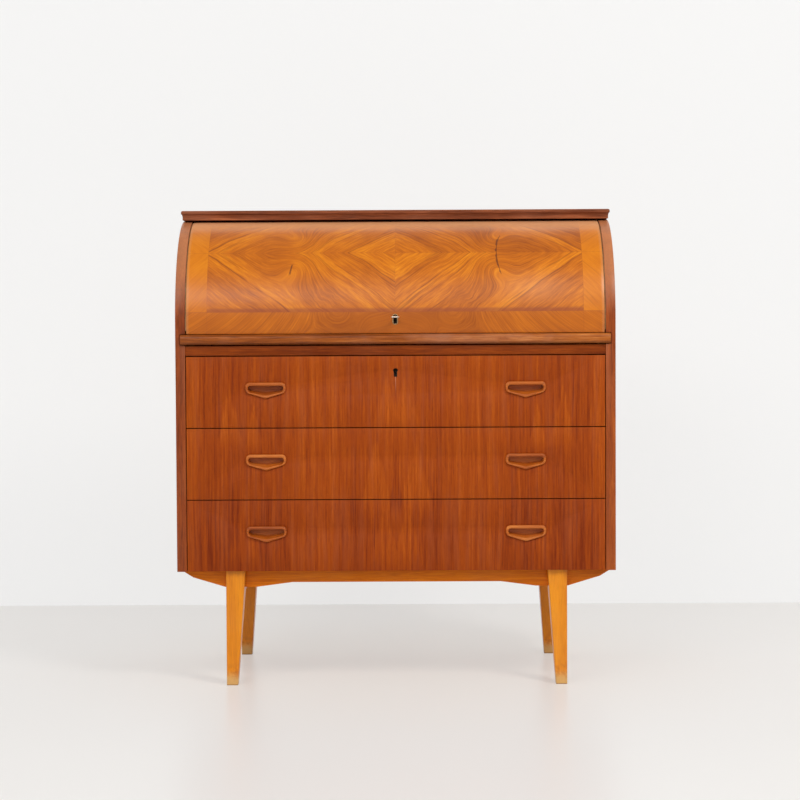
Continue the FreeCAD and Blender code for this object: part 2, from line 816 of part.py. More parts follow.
def slide_strike():
    plate = block(
        "strike_plate",
        (-s.strike_width / 2, s.strike_width / 2),
        (cylinder_bolt_y - s.strike_depth / 2, cylinder_bolt_y + s.strike_depth / 2),
        (surface - s.strike_thickness, surface),
    )
    return cut("strike_plate_cut", plate, bolt_hole("strike_hole"))


def slide_stop():
    """The block that meets the front rail when the slide is pulled out."""
    rail_back = front + s.rail_recess + s.rail_thickness
    y0 = rail_back + s.stop_slack + s.slide_travel
    return block(
        "stop_block",
        (-s.stop_width / 2, s.stop_width / 2),
        (y0, y0 + s.stop_depth),
        (slide_low - s.stop_height, slide_low),
    )


# The cylinder


def keyhole(name, y0, y1, z, slot_down=True):
    """A keyhole cutter: a round top with a slot below it, through the wood from y0 to y1."""
    depth = y1 - y0
    bore = rod(name + "_round", s.keyhole_radius, depth, 0, y0, z)
    slot = block(
        name + "_slot", (-s.keyhole_slot / 2, s.keyhole_slot / 2), (y0, y1), (z - s.keyhole_length, z)
    )
    return fuse(name, bore, slot)


def rounded_plate(name, width, length, y0, y1, x, z):
    """An upright plate with half round ends. Its middle is at x and z."""
    half = length / 2 - width / 2
    depth = y1 - y0
    return fuse(
        name,
        rod(name + "_top", width / 2, depth, x, y0, z + half),
        rod(name + "_foot", width / 2, depth, x, y0, z - half),
        block(name + "_middle", (x - width / 2, x + width / 2), (y0, y1), (z - half, z + half)),
    )


def cylinder_shell():
    """The moulded shell, trimmed level along its lower edge, with the lock's recess and keyhole."""
    inside = s.shell_radius - s.shell_thickness
    drop = axis_z - shell_low
    outline = [
        (axis_y - root_of_difference(s.shell_radius, drop), shell_low),
        (*on_circle(s.shell_radius, s.shell_top_angle), s.shell_radius, False),
        on_circle(inside, s.shell_top_angle),
        (axis_y - root_of_difference(inside, drop), shell_low, inside, True),
    ]
    strip = slab("shell_strip", "YZ_Plane", outline, shell_half * 2, -shell_half)
    seat_half = s.lock_width / 2 + s.joint_slack
    recess = block(
        "shell_lock_recess",
        (-seat_half, seat_half),
        (cylinder_lock_y, cylinder_lock_y + s.lock_thickness * 2),
        (shell_low - s.overrun, shell_low + s.lock_edge_gap + s.lock_height + s.joint_slack),
    )
    hole = keyhole("shell_keyhole", front - s.overrun, cylinder_lock_y + s.overrun, cylinder_key_z)
    ring_seat = rounded_plate(
        "shell_escutcheon_seat",
        s.escutcheon_width,
        s.escutcheon_length,
        front - s.overrun,
        shell_face + s.escutcheon_seat,
        0,
        escutcheon_z,
    )
    slots = [
        tongue_ring(f"shell_tongue_slot_{side}", hand, shell_half - s.tongue_seat, inner, s.joint_slack)
        for side, hand in both_hands
    ]
    return cut("shell_cut", strip, recess, hole, ring_seat, *slots)


def tongue_ring(name, hand, near, far, slack):
    """A curved tongue between two distances from the middle, thickened by a slack all round."""
    half = s.tongue_thickness / 2 + slack
    return ring(
        name,
        tongue_radius - half,
        tongue_radius + half,
        -s.groove_low_angle + s.tongue_end_angle,
        s.shell_top_angle - s.tongue_end_angle,
        *span(hand, near, far),
    )


def cylinder_guides():
    tongues = [
        tongue_ring(f"tongue_{side}", hand, shell_half - s.tongue_seat, inner + s.tongue_reach, 0)
        for side, hand in both_hands
    ]
    return group("tongue_set", *tongues)


def lock_case(name, y0, edge_z, axis_depth, up):
    """A lock case: a round chamber for the key's bit and a channel that the bolt slides in."""
    way = 1 if up else -1
    edge = edge_z - s.lock_edge_gap * way
    far = edge - s.lock_height * way
    z0, z1 = (far, edge) if up else (edge, far)
    key_z = edge - axis_depth * way
    case = block(name + "_box", (-s.lock_width / 2, s.lock_width / 2), (y0, y0 + s.lock_thickness), (z0, z1))
    y_in, y_out = y0 + s.lock_wall, y0 + s.lock_thickness - s.lock_wall
    chamber = rod(name + "_chamber", s.works_radius, y_out - y_in, 0, y_in, key_z)
    half = s.bolt_width / 2 + s.bolt_slack
    mid = y0 + s.lock_thickness / 2
    reach = s.bolt_thickness / 2 + s.bolt_slack
    channel = block(
        name + "_channel",
        (-half, half),
        (mid - reach, mid + reach),
        (key_z, edge + s.overrun) if up else (edge - s.overrun, key_z),
    )
    hole = keyhole(name + "_keyhole", y0 - s.overrun, y_in + s.joint_slack, key_z)
    return cut(name + "_works", case, chamber, channel, hole)


def bolt(name, y0, edge_z, axis_depth, up):
    """A bolt drawn back into its lock case."""
    way = 1 if up else -1
    edge = edge_z - s.lock_edge_gap * way
    tail = edge - (axis_depth - s.works_radius - s.bolt_clearance) * way
    mid = y0 + s.lock_thickness / 2
    return block(
        name + "_bar",
        (-s.bolt_width / 2, s.bolt_width / 2),
        (mid - s.bolt_thickness / 2, mid + s.bolt_thickness / 2),
        (tail, edge) if up else (edge, tail),
    )


def escutcheon():
    """The plate round the cylinder's keyhole."""
    plate = rounded_plate(
        "escutcheon_plate",
        s.escutcheon_width,
        s.escutcheon_length,
        shell_face - s.escutcheon_proud,
        shell_face + s.escutcheon_seat,
        0,
        escutcheon_z,
    )
    hole = keyhole(
        "escutcheon_keyhole",
        shell_face - s.overrun,
        shell_face + s.escutcheon_seat + s.overrun,
        cylinder_key_z,
    )
    return cut("escutcheon_cut", plate, hole)


def key():
    """The key, turned a quarter turn: its bow lies level, as in the locked-open desk."""
    z = cylinder_key_z
    tip = front - s.key_reach
    bow_end = shell_face - s.key_stem
    works_end = cylinder_lock_y + s.lock_thickness - s.lock_wall - s.key_end_gap
    # The shank runs into the bow's rim.
    shank_start = bow_end - s.bow_rim / 2
    shank = rod("key_shank", s.shank_radius, works_end - shank_start, 0, shank_start, z)
    collar_y = shell_face - s.escutcheon_proud - s.collar_length - s.joint_slack
    collar = rod("key_collar", s.collar_radius, s.collar_length, 0, collar_y, z)
    low = z - s.bow_thickness / 2
    half, rim = s.bow_width / 2, s.bow_rim
    outline = rounded_oblong(-half, half, tip, bow_end, s.bow_round)
    eye = rounded_oblong(-half + rim, half - rim, tip + rim, bow_end - rim, s.bow_round - rim)
    bow = slab("key_bow", "XY_Plane", outline, s.bow_thickness, low)
    eye_hole = pocket(bow, "XY_Plane", "key_eye", eye, s.bow_thickness * 2, z)
    eye_hole.Midplane = True
    bit = block(
        "key_bit",
        (0, s.bit_reach),
        (works_end - s.bit_length, works_end),
        (z - s.bit_thickness / 2, z + s.bit_thickness / 2),
    )
    return fuse("key_blank", shank, collar, bow, bit)


# The drawers

drawer_lock_y = front + s.front_recess + s.front_thickness - s.lock_thickness
drawer_lock_back = drawer_lock_y + s.lock_thickness


def drawer_low(n):
    """The lower edge of front n. Drawer 1 is the top one."""
    return s.leg_height + s.drawer_gap / 2 + s.drawer_pitch * (drawer_count - n)


# How far the lower corners and the point move for each unit that the outline is drawn in.
pull_shoulder_share = 0.75
pull_point_share = 1.05


def pull_outline(x, top, inset):
    """A pull's outline, drawn in from all round by inset: flat top, round cheeks, blunt point below."""
    half = s.pull_width / 2 - inset
    head = top - inset
    corner = s.pull_corner - inset
    shoulder_x = s.pull_width / 2 - s.pull_shoulder_in - inset * pull_shoulder_share
    across = s.pull_cheek - s.pull_shoulder_in
    fall = root_of_difference(s.pull_cheek, across)
    shoulder_z = top - s.pull_corner - fall + inset * pull_shoulder_share
    point = top - s.pull_height + inset * pull_point_share
    cheek = s.pull_cheek - inset
    return [
        (x - half + corner, head),
        (x - half, head - corner, corner, True),
        (x - shoulder_x, shoulder_z, cheek, True),
        (x, point),
        (x + shoulder_x, shoulder_z),
        (x + half, head - corner, cheek, True),
        (x + half - corner, head, corner, True),
    ]


def drawer_front(n):
    low = drawer_low(n)
    half = inner - s.front_side_gap
    height = s.drawer_pitch - s.drawer_gap
    y0 = front + s.front_recess
    outline = [(-half, low), (half, low), (half, low + height), (-half, low + height)]
    body = slab(f"drawer_{n}_front_board", "XZ_Plane", outline, s.front_thickness, -(y0 + s.front_thickness))
    for side, hand in both_hands:
        x = (half_width - s.pull_inset) * hand
        hole = pull_outline(x, low + height - s.pull_drop, s.pull_plug_inset - s.pull_plug_slack)
        pocket(
            body,
            "XZ_Plane",
            f"drawer_{n}_{side}_hole",
            hole,
            s.front_thickness + s.overrun * 2,
            -(y0 - s.overrun),
        )
    if n != 1:
        return body
    seat_half = s.lock_width / 2 + s.joint_slack
    top = low + height
    recess = block(
        "drawer_lock_recess",
        (-seat_half, seat_half),
        (drawer_lock_y, y0 + s.front_thickness + s.overrun),
        (top - s.lock_edge_gap - s.lock_height - s.joint_slack, top + s.overrun),
    )
    key_z = top - s.lock_edge_gap - s.drawer_lock_axis
    hole = keyhole("drawer_keyhole", y0 - s.overrun, drawer_lock_y + s.overrun, key_z)
    return cut("drawer_1_front_cut", body, recess, hole)


def drawer_box(n):
    """Sides, back and bottom of one drawer."""
    low = drawer_low(n)
    half = inner - s.front_side_gap
    y0 = front + s.front_recess + s.front_thickness
    y1 = back_face - s.drawer_back_gap
    z0 = low + s.drawer_side_rise
    z1 = z0 + s.drawer_side_height
    floor = z0 + s.drawer_bottom_rise
    near = half - s.drawer_side_thickness
    for side, hand in both_hands:
        board = block(f"drawer_{n}_{side}_board", span(hand, near, half), (y0, y1), (z0, z1))
        runner_z = z0 + s.runner_rise
        runner_groove = block(
            f"drawer_{n}_{side}_runner_groove",
            span(hand, inner - s.runner_reach - s.runner_slack, inner),
            (front + s.runner_start - s.runner_slack, y1 + s.overrun),
            (runner_z - s.runner_slack, runner_z + s.runner_height + s.runner_slack),
        )
        floor_groove = block(
            f"drawer_{n}_{side}_floor_groove",
            span(hand, near - s.overrun, near + s.drawer_bottom_seat + s.bottom_groove_slack),
            (y0 - s.overrun, y1 + s.overrun),
            (floor - s.bottom_groove_slack, floor + s.drawer_bottom_thickness + s.bottom_groove_slack),
        )
        piece(
            f"drawer_{n}_side_{side}",
            cut(f"drawer_{n}_{side}_grooved", board, runner_groove, floor_groove),
        )
    back_low = floor + s.drawer_bottom_thickness
    piece(
        f"drawer_{n}_back",
        block(
            f"drawer_{n}_back_board",
            (-near, near),
            (y1 - s.drawer_back_thickness, y1),
            (back_low, z1 - s.drawer_back_drop),
        ),
    )
    piece(
        f"drawer_{n}_bottom",
        block(
            f"drawer_{n}_bottom_board",
            (-near - s.drawer_bottom_seat, near + s.drawer_bottom_seat),
            (y0, y1),
            (floor, back_low),
        ),
    )


def pull(name, x, top):
    """One carved pull: a raised rim, a plug through the front, and a finger hole hooked behind the rim."""
    face = front + s.front_recess
    rim_y = face - s.pull_proud
    plug_end = face + s.front_thickness - s.pull_plug_short
    rim_sections = (
        (pull_outline(x, top, as_size(0)), -face),
        (pull_outline(x, top, as_size(0)), -(rim_y + s.pull_bevel)),
        (pull_outline(x, top, s.pull_bevel), -rim_y),
    )
    rim = tapered(name + "_rim", "XZ_Plane", rim_sections)
    plug_y = rim_y + s.pull_bevel
    plug = slab(
        name + "_plug", "XZ_Plane", pull_outline(x, top, s.pull_plug_inset), plug_end - plug_y, -plug_end
    )
    hole = slab(
        name + "_hole",
        "XZ_Plane",
        pull_outline(x, top, s.pull_rim),
        plug_end - s.pull_wall - rim_y + s.overrun,
        -(plug_end - s.pull_wall),
    )
    hook = block(
        name + "_hook",
        (x - s.pull_hook_width / 2, x + s.pull_hook_width / 2),
        (rim_y + s.pull_hook_start, plug_end - s.pull_wall),
        (top - s.pull_rim - s.overrun, top - s.pull_rim + s.pull_hook),
    )
    return cut(name + "_cut", fuse(name + "_blank", rim, plug), hole, hook)


def pulls(n):
    top = drawer_low(n) + s.drawer_pitch - s.drawer_gap - s.pull_drop
    pair = [pull(f"pull_{n}_{side}", (half_width - s.pull_inset) * hand, top) for side, hand in both_hands]
    return group(f"pull_{n}_pair", *pair)


# The fitted insert and its small drawers

insert_y = front + s.insert_setback
insert_end = insert_y + s.insert_depth
insert_low = surface + s.insert_gap
insert_floor_top = insert_low + s.insert_floor_thickness
insert_high = insert_low + s.insert_height
insert_half = inner - s.insert_side_gap
insert_ceiling = insert_high - s.insert_board_thickness
stack_out = insert_half - s.insert_board_thickness
stack_in = stack_out - s.stack_width
bay_half = stack_in - s.insert_board_thickness
nest_y = insert_y + s.nest_recess
insert_back_y = insert_end - s.insert_back_thickness
tray_slot = (insert_ceiling - insert_floor_top - s.bearer_thickness) / trays_per_stack


def insert():
    """The boards of the insert: drawer stacks at the ends and pigeonholes between them."""
    whole = (insert_y, insert_end)
    inside = (insert_floor_top, insert_ceiling)
    across = (-insert_half, insert_half)
    floor_board = block("insert_floor_board", across, whole, (insert_low, insert_floor_top))
    piece("insert_floor", floor_board)
    ends = [
        block(f"insert_end_{side}", span(hand, stack_out, insert_half), whole, inside)
        for side, hand in both_hands
    ]
    piece("insert_ends", group("insert_end_pair", *ends))
    for side, hand in both_hands:
        board = block(
            f"insert_divider_{side}_board", span(hand, bay_half, stack_in), (insert_y, insert_back_y), inside
        )
        piece(f"insert_divider_{side}", board)
    piece("insert_top", block("insert_top_board", across, whole, (insert_ceiling, insert_high)))
    shelf_low = insert_floor_top + s.shelf_rise
    shelf_top = shelf_low + s.partition_thickness
    shelf = block(
        "insert_shelf_board", (-bay_half, bay_half), (nest_y, insert_back_y), (shelf_low, shelf_top)
    )
    piece("insert_shelf", shelf)
    partitions = [
        block(
            f"partition_{side}",
            span(hand, bay_half / 3 - s.partition_thickness / 2, bay_half / 3 + s.partition_thickness / 2),
            (nest_y, insert_back_y),
            (shelf_top, insert_ceiling),
        )
        for side, hand in both_hands
    ]
    piece("insert_partitions", group("partition_pair", *partitions))
    piece(
        "insert_back",
        block("insert_back_board", (-stack_out, stack_out), (insert_back_y, insert_end), inside),
    )
    bearer_low = insert_floor_top + tray_slot
    bearers = [
        block(
            f"bearer_{side}",
            span(hand, stack_in, stack_out),
            (nest_y, insert_back_y),
            (bearer_low, bearer_low + s.bearer_thickness),
        )
        for side, hand in both_hands
    ]
    piece("insert_bearers", group("bearer_pair", *bearers))


def tray(name, hand, level):
    """A small drawer: front, two sides, back, bottom and a turned knob. Level 0 is the lower one."""
    x0, x1 = span(hand, stack_in + s.tray_gap, stack_out - s.tray_gap)
    low = insert_floor_top + (tray_slot + s.bearer_thickness) * level + s.tray_lift
    high = low + tray_slot - s.tray_lift * 2
    y0 = insert_y + s.tray_recess
    y1 = y0 + s.tray_front_thickness
    y2 = y1 + s.tray_length
    side_high = high - s.tray_side_drop
    floor = low + s.tray_floor
    x_mid, z_mid = (x0 + x1) / 2, (low + high) / 2
    neck = rod(name + "_neck", s.knob_neck_radius, s.knob_neck_length, x_mid, y0 - s.knob_neck_length, z_mid)
    button = rod(
        name + "_button", s.knob_radius, s.knob_reach - s.knob_neck_length, x_mid, y0 - s.knob_reach, z_mid
    )
    between = (x0 + s.tray_wall, x1 - s.tray_wall)
    return group(
        name + "_set",
        block(name + "_front", (x0, x1), (y0, y1), (low, high)),
        block(name + "_side_a", (x0, x0 + s.tray_wall), (y1, y2), (low, side_high)),
        block(name + "_side_b", (x1 - s.tray_wall, x1), (y1, y2), (low, side_high)),
        block(name + "_back", between, (y2 - s.tray_wall, y2), (floor, side_high)),
        block(name + "_bottom", between, (y1, y2), (low, floor)),
        fuse(name + "_knob", neck, button),
    )


# The whole desk

for side, hand in both_hands:
    piece(f"side_panel_{side}", side_panel(f"side_{side}", hand))
piece("top_board", top_board())
piece("case_bottom", case_bottom())
piece("back_panel", back_panel())
piece("front_rail", front_rail())
piece("runners", runners())

for side, hand in both_hands:
    blanks = []
    for end, rear in (("front", False), ("rear", True)):
        blank, slotted = leg(f"{end}_{side}_leg", hand, rear)
        piece(f"leg_{end}_{side}", slotted)
        blanks.append(blank)
    piece(f"base_rail_{side}", base_rail(f"base_rail_{side}_bar", hand, *blanks))
piece("apron_front", apron("apron_front_bar", front_apron_y))
piece("apron_rear", apron("apron_rear_bar", rear_apron_y))
piece("base_screws", base_screws())

piece("writing_slide", writing_slide())
piece("slide_lip", slide_lip())
piece("slide_stop", slide_stop())
piece("slide_strike", slide_strike())

piece("cylinder_shell", cylinder_shell())
piece("cylinder_guides", cylinder_guides())
piece("cylinder_lock", lock_case("cylinder_lock", cylinder_lock_y, shell_low, s.cylinder_lock_axis, False))
piece("cylinder_bolt", bolt("cylinder_bolt", cylinder_lock_y, shell_low, s.cylinder_lock_axis, False))
piece("cylinder_escutcheon", escutcheon())
piece("key", key())

top_edge = drawer_low(1) + s.drawer_pitch - s.drawer_gap
piece("drawer_lock", lock_case("drawer_lock", drawer_lock_y, top_edge, s.drawer_lock_axis, True))
piece("drawer_bolt", bolt("drawer_bolt", drawer_lock_y, top_edge, s.drawer_lock_axis, True))
for n in range(1, drawer_count + 1):
    piece(f"drawer_{n}_front", drawer_front(n))
    drawer_box(n)
    piece(f"drawer_{n}_pulls", pulls(n))

insert()
for side, hand in both_hands:
    for level, word in enumerate(("lower", "upper")):
        piece(f"small_drawer_{side}_{word}", tray(f"tray_{side}_{word}", hand, level))

doc.recompute()

failed = [o.Name for o in doc.Objects if {"Invalid", "Error"} & set(o.State)]
if failed:
    raise SystemExit(f"these objects failed: {failed}")
for name, thing in pieces.items():
    if thing.Shape.isNull() or not thing.Shape.isValid() or not thing.Shape.Solids:
        raise SystemExit(f"{name} has no valid solid")

os.makedirs("parts", exist_ok=True)
for name, thing in pieces.items():
    thing.Shape.exportStep(f"parts/{name}.step")
print(len(pieces), "sub-parts written")
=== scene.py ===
# A roll-top secretary desk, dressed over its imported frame. In the dictionaries lengths are metres, angles degrees, the
# lens and sensor millimetres, and tones linear, 0 to 1, or a screen's, 0 to 255.
import json
import math

import bmesh
import bpy
import numpy as np
from mathutils import Matrix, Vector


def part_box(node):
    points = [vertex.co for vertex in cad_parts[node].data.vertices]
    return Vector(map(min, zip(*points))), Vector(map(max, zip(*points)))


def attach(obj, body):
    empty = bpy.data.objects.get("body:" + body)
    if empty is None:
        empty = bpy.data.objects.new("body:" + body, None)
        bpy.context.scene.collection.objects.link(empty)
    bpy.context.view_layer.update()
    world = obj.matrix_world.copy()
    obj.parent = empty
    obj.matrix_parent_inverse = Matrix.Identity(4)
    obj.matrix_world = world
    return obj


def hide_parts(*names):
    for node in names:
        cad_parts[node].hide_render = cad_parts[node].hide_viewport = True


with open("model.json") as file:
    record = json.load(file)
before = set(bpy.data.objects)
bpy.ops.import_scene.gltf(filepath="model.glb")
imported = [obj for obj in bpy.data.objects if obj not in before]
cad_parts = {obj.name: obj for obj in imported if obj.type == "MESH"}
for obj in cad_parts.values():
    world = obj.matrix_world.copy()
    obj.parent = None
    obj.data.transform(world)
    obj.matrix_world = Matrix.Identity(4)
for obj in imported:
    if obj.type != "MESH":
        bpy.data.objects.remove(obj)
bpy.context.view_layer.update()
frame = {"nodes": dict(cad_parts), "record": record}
nodes = frame["nodes"]
record = frame["record"]
bodyOf = {node: body for body, members in record["behaviour"]["bodies"].items() for node in members}


# Camera and room

view = {
    "place": (0.0311, -4.693, 0.773),
    "lens": 98.56,
    "sensor": 36.0,
    "pitchDown": 2.371,
    "yaw": 0.283,
    "roll": -0.284,
}
room = {
    "wallY": 1.027,
    "wallReach": 9.0,
    "wallHeight": 2.8,
    "floorReach": 40.0,
    "skyTone": (1.0, 0.995, 0.985),
    # brightness by sine of elevation, in front of the desk (where the window is) and elsewhere
    "skyFront": [(0.0, 0.46), (0.18, 0.46), (0.36, 1.3), (0.7, 1.2), (0.86, 0.22)],
    "skyAround": [(0.0, 0.7), (0.6, 0.66), (0.86, 0.4)],
}
# a surface's own tone, and the even tone that it is seen with by a share
wallLook = {
    "tone": (0.86, 0.86, 0.855), "seen": (0.93, 0.93, 0.925), "seenShare": 0.7, "roughness": 0.9, "specular": 0.1,
}
floorLook = {
    "tone": (0.84, 0.82, 0.8), "seen": (0.855, 0.84, 0.82), "seenShare": 0.42, "roughness": 0.3, "specular": 0.5,
    # painted light: a warm tone near the desk stands for light bounced from its wood onto the floor
    "worn": (0.832, 0.705, 0.576), "wornShare": 0.5, "wornFrom": 0.9, "wornTo": 0.1,
}
lamps = {
    "windowRight": {
        "place": (2.1, -2.7, 3.3), "aim": (0.0, 0.0, 0.5), "size": (1.0, 1.0), "watts": 64, "tone": (1.0, 0.985, 0.96),
    },
    "windowFront": {
        "place": (-1.7, -4.0, 3.2), "aim": (0.0, 0.0, 0.6), "size": (2.6, 1.2), "watts": 56, "tone": (1.0, 1.0, 1.0),
    },
}


def linked(name, data):
    thing = bpy.data.objects.new(name, data)
    bpy.context.scene.collection.objects.link(thing)
    return thing


camera = linked("camera", bpy.data.cameras.new("camera"))
camera.data.lens = view["lens"]
camera.data.sensor_width = view["sensor"]
camera.matrix_world = (
    Matrix.Translation(view["place"])
    @ Matrix.Rotation(math.radians(view["yaw"]), 4, "Z")
    @ Matrix.Rotation(math.radians(90 - view["pitchDown"]), 4, "X")
    @ Matrix.Rotation(math.radians(view["roll"]), 4, "Z")
)
bpy.context.scene.camera = camera
bpy.context.scene.view_settings.view_transform = "Standard"

for name, look in lamps.items():
    # an oblong lamp at its place, facing its aim
    lamp = bpy.data.lights.new(name, "AREA")
    lamp.shape = "RECTANGLE"
    lamp.size, lamp.size_y = look["size"]
    lamp.energy = look["watts"]
    lamp.color = look["tone"]
    back = np.array(look["place"]) - np.array(look["aim"])
    back /= np.linalg.norm(back)
    side = np.cross((0, 0, 1), back)
    side /= np.linalg.norm(side)
    up = np.cross(back, side)
    turn = Matrix(np.column_stack([side, up, back]).tolist()).to_4x4()
    linked(name, lamp).matrix_world = Matrix.Translation(look["place"]) @ turn


class Field:
    # a shader socket, on which arithmetic adds Math nodes to its tree
    def __init__(self, tree, socket):
        self.tree = tree
        self.socket = socket

    def math(self, operation, *others):
        return addNode(self.tree, "Math", dict(enumerate((self, *others))), operation=operation)

    def __add__(self, other):
        return self.math("ADD", other)

    def __sub__(self, other):
        return self.math("SUBTRACT", other)

    def __rsub__(self, other):
        return addNode(self.tree, "Math", {0: other, 1: self}, operation="SUBTRACT")

    def __mul__(self, other):
        return self.math("MULTIPLY", other)

    def __truediv__(self, other):
        return self.math("DIVIDE", other)

    def __abs__(self):
        return self.math("ABSOLUTE")

    def __gt__(self, other):
        return self.math("GREATER_THAN", other)

    def __lt__(self, other):
        return self.math("LESS_THAN", other)


def feed(node, inputs):
    # sets inputs of a node, each from a Field or to a plain value
    for key, value in inputs.items():
        if isinstance(value, Field):
            value.tree.links.new(value.socket, node.inputs[key])
        else:
            node.inputs[key].default_value = value


def addNode(tree, kind, inputs=None, output=0, **settings):
    # one new shader node, as the Field of one of its outputs
    node = tree.nodes.new("ShaderNode" + kind)
    for key, value in settings.items():
        setattr(node, key, value)
    feed(node, inputs or {})
    return Field(tree, node.outputs[output])


def splitVector(vector):
    node = vector.tree.nodes.new("ShaderNodeSeparateXYZ")
    feed(node, {0: vector})
    return [Field(vector.tree, socket) for socket in node.outputs]


def joinVector(x, y, z):
    return addNode(x.tree, "CombineXYZ", {0: x, 1: y, 2: z})


def mapped(vector, offset, scale):
    return addNode(vector.tree, "Mapping", {"Vector": vector, "Location": (offset,) * 3, "Scale": scale})


def noiseAt(spot, scale, detail, roughness=0.5):
    inputs = {"Vector": spot, "Scale": scale, "Detail": detail, "Roughness": roughness}
    return addNode(spot.tree, "TexNoise", inputs)


def blendValues(share, a, b):
    return addNode(share.tree, "Mix", {0: share, 2: a, 3: b})


def blendTones(share, a, b):
    return addNode(share.tree, "Mix", {0: share, 6: a, 7: b}, output=2, data_type="RGBA", clamp_factor=True)


def tinted(tone, share, end):
    # a tone turned by a share into a colour of the screen
    return blendTones(share, tone, srgb(*end))


def largest(value, *others):
    for other in others:
        value = value.math("MAXIMUM", other)
    return value


def ramp(value, stops):
    # greys, or colours of the screen, between the given places
    node = value.tree.nodes.new("ShaderNodeValToRGB")
    feed(node, {0: value})
    band = node.color_ramp
    band.interpolation = "LINEAR"
    while len(band.elements) < len(stops):
        band.elements.new(0.5)
    for element, (place, tone) in zip(band.elements, stops):
        element.position = place
        element.color = (tone, tone, tone, 1) if isinstance(tone, float) else srgb(*tone)
    return Field(value.tree, node.outputs[0])


def shareAt(value, stops, stretch):
    # a value from stops at places, which are stretched over the whole ramp
    grey = ramp(value * stretch, [(place * stretch, share) for place, share in stops])
    return addNode(value.tree, "SeparateColor", {0: grey})


def step(value, low, high, top=1.0, bottom=0.0):
    # a soft step from bottom to top between two values; low may lie above high
    inputs = {"Value": value, "From Min": low, "From Max": high, "To Min": bottom, "To Max": top}
    return addNode(value.tree, "MapRange", inputs, interpolation_type="SMOOTHSTEP")


def srgb(r, g, b):
    # a screen's colour made linear
    c = np.array([r, g, b]) / 255
    linear = np.where(c <= 0.04045, c / 12.92, ((c + 0.055) / 1.055) ** 2.4)
    return (*linear.tolist(), 1.0)


def newMaterial(name):
    material = bpy.data.materials.new(name)
    material.use_nodes = True
    return material, material.node_tree, material.node_tree.nodes["Principled BSDF"]


def roomMaterial(name, look):
    # paint, whose camera view is lifted towards an even tone so that the background stays pale
    material, tree, shader = newMaterial(name)
    feed(shader, {
        "Base Color": (*look["tone"], 1), "Roughness": look["roughness"], "Specular IOR Level": look["specular"],
    })
    glow = addNode(tree, "Emission", {"Color": (*look["seen"], 1), "Strength": 1.0})
    path = tree.nodes.new("ShaderNodeLightPath")
    rays = [Field(tree, path.outputs[f"Is {kind} Ray"]) for kind in ("Camera", "Transmission", "Glossy")]
    seen = largest(*rays) * look["seenShare"]
    mixed = addNode(tree, "MixShader", {0: seen, 1: Field(tree, shader.outputs[0]), 2: glow})
    return material, tree, mixed


def oblong(left, low, right, high):
    return [(left, low), (right, low), (right, high), (left, high)]


def roomPlane(name, corners, material):
    mesh = bpy.data.meshes.new(name)
    mesh.from_pydata(corners, [], [(0, 1, 2, 3)])
    mesh.materials.append(material)
    plane = linked(name, mesh)


wallPaint, wallTree, wallMix = roomMaterial("wallPaint", wallLook)
# The wall is seen and lit from the front alone, so it hides nothing from behind.
wallBack = addNode(wallTree, "NewGeometry", output="Backfacing")
wallShader = addNode(wallTree, "MixShader", {0: wallBack, 1: wallMix, 2: addNode(wallTree, "BsdfTransparent")})
feed(wallTree.nodes["Material Output"], {0: wallShader})

floorPaint, floorTree, floorMix = roomMaterial("floorPaint", floorLook)
feed(floorTree.nodes["Material Output"], {0: floorMix})
# painted light: the floor is tinted warmer below the desk, a painted bounce of light from its wood
floorPlace = addNode(floorTree, "TexCoord", output="Object")
fromDesk = addNode(floorTree, "VectorMath", {0: floorPlace}, output="Value", operation="LENGTH")
floorBounce = step(fromDesk, floorLook["wornFrom"], floorLook["wornTo"], floorLook["wornShare"])
floorTone = blendTones(floorBounce, (*floorLook["tone"], 1), (*floorLook["worn"], 1))
feed(floorTree.nodes["Principled BSDF"], {"Base Color": floorTone})

far = room["wallReach"]
roomPlane("wall", [(x, room["wallY"], z) for x, z in oblong(-far, 0, far, room["wallHeight"])], wallPaint)
far = room["floorReach"]
roomPlane("floor", [(x, y, 0) for x, y in oblong(-far, -far, far, far)], floorPaint)

world = bpy.data.worlds.new("sky")
bpy.context.scene.world = world
world.use_nodes = True
# a window high in front, a dimmer room below it and a dim ceiling
skyWay = splitVector(addNode(world.node_tree, "TexCoord", output="Generated"))
around, front = (ramp(skyWay[2], room[key]) for key in ("skyAround", "skyFront"))
skyLight = blendTones(step(skyWay[1], -0.25, -0.75), around, front)
feed(world.node_tree.nodes["Background"], {"Color": (*room["skyTone"], 1), "Strength": skyLight})
print("room: camera, lamps, wall and floor")


# Finishes

# What the woods share. Scales are those of bands, streaks and fibres across the grain, drawn out along it by stretch,
# and stops are the tones' places on their sum.
plainWood = {
    "scales": (6.0, 55.0, 380.0), "stretch": 20.0, "details": (2.0, 3.0, 2.0), "sway": 0.014,
    "veilShare": 0.25, "pores": 0.3, "poreTone": (54, 24, 12), "specular": 0.25, "coat": 0.0, "relief": (0.16, 0.0004),
    "stops": (0.2, 0.45, 0.6, 0.85),
}
sideTeak = {
    **plainWood, "grain": "z", "scales": (5.0, 50.0, 360.0), "stretch": 24.0, "weights": (0.3, 0.5, 0.35),
    "tones": [(112, 46, 16), (142, 64, 20), (156, 72, 20), (176, 92, 32)],
    # the sides' faces that look up get a painted sheen
    "veil": (160, 92, 56), "roughness": 0.34, "specular": 0.22, "seed": 3.1, "faded": 0.4,
}
goldLevel = {
    **plainWood, "grain": "x", "weights": (0.3, 0.35, 0.25),
    "tones": [(176, 86, 4), (200, 102, 6), (214, 116, 10), (230, 140, 30)],
    "veil": (210, 130, 60), "veilShare": 0.15, "pores": 0.12, "roughness": 0.36, "specular": 0.12, "coat": 0.03,
    "seed": 21.0,
}
mahogany = {
    **plainWood, "grain": "x", "weights": (0.3, 0.45, 0.35),
    "stops": (0.2, 0.5, 0.85), "tones": [(128, 66, 34), (158, 88, 48), (188, 116, 68)],
    "veil": (160, 104, 74), "roughness": 0.46, "seed": 29.0,
}
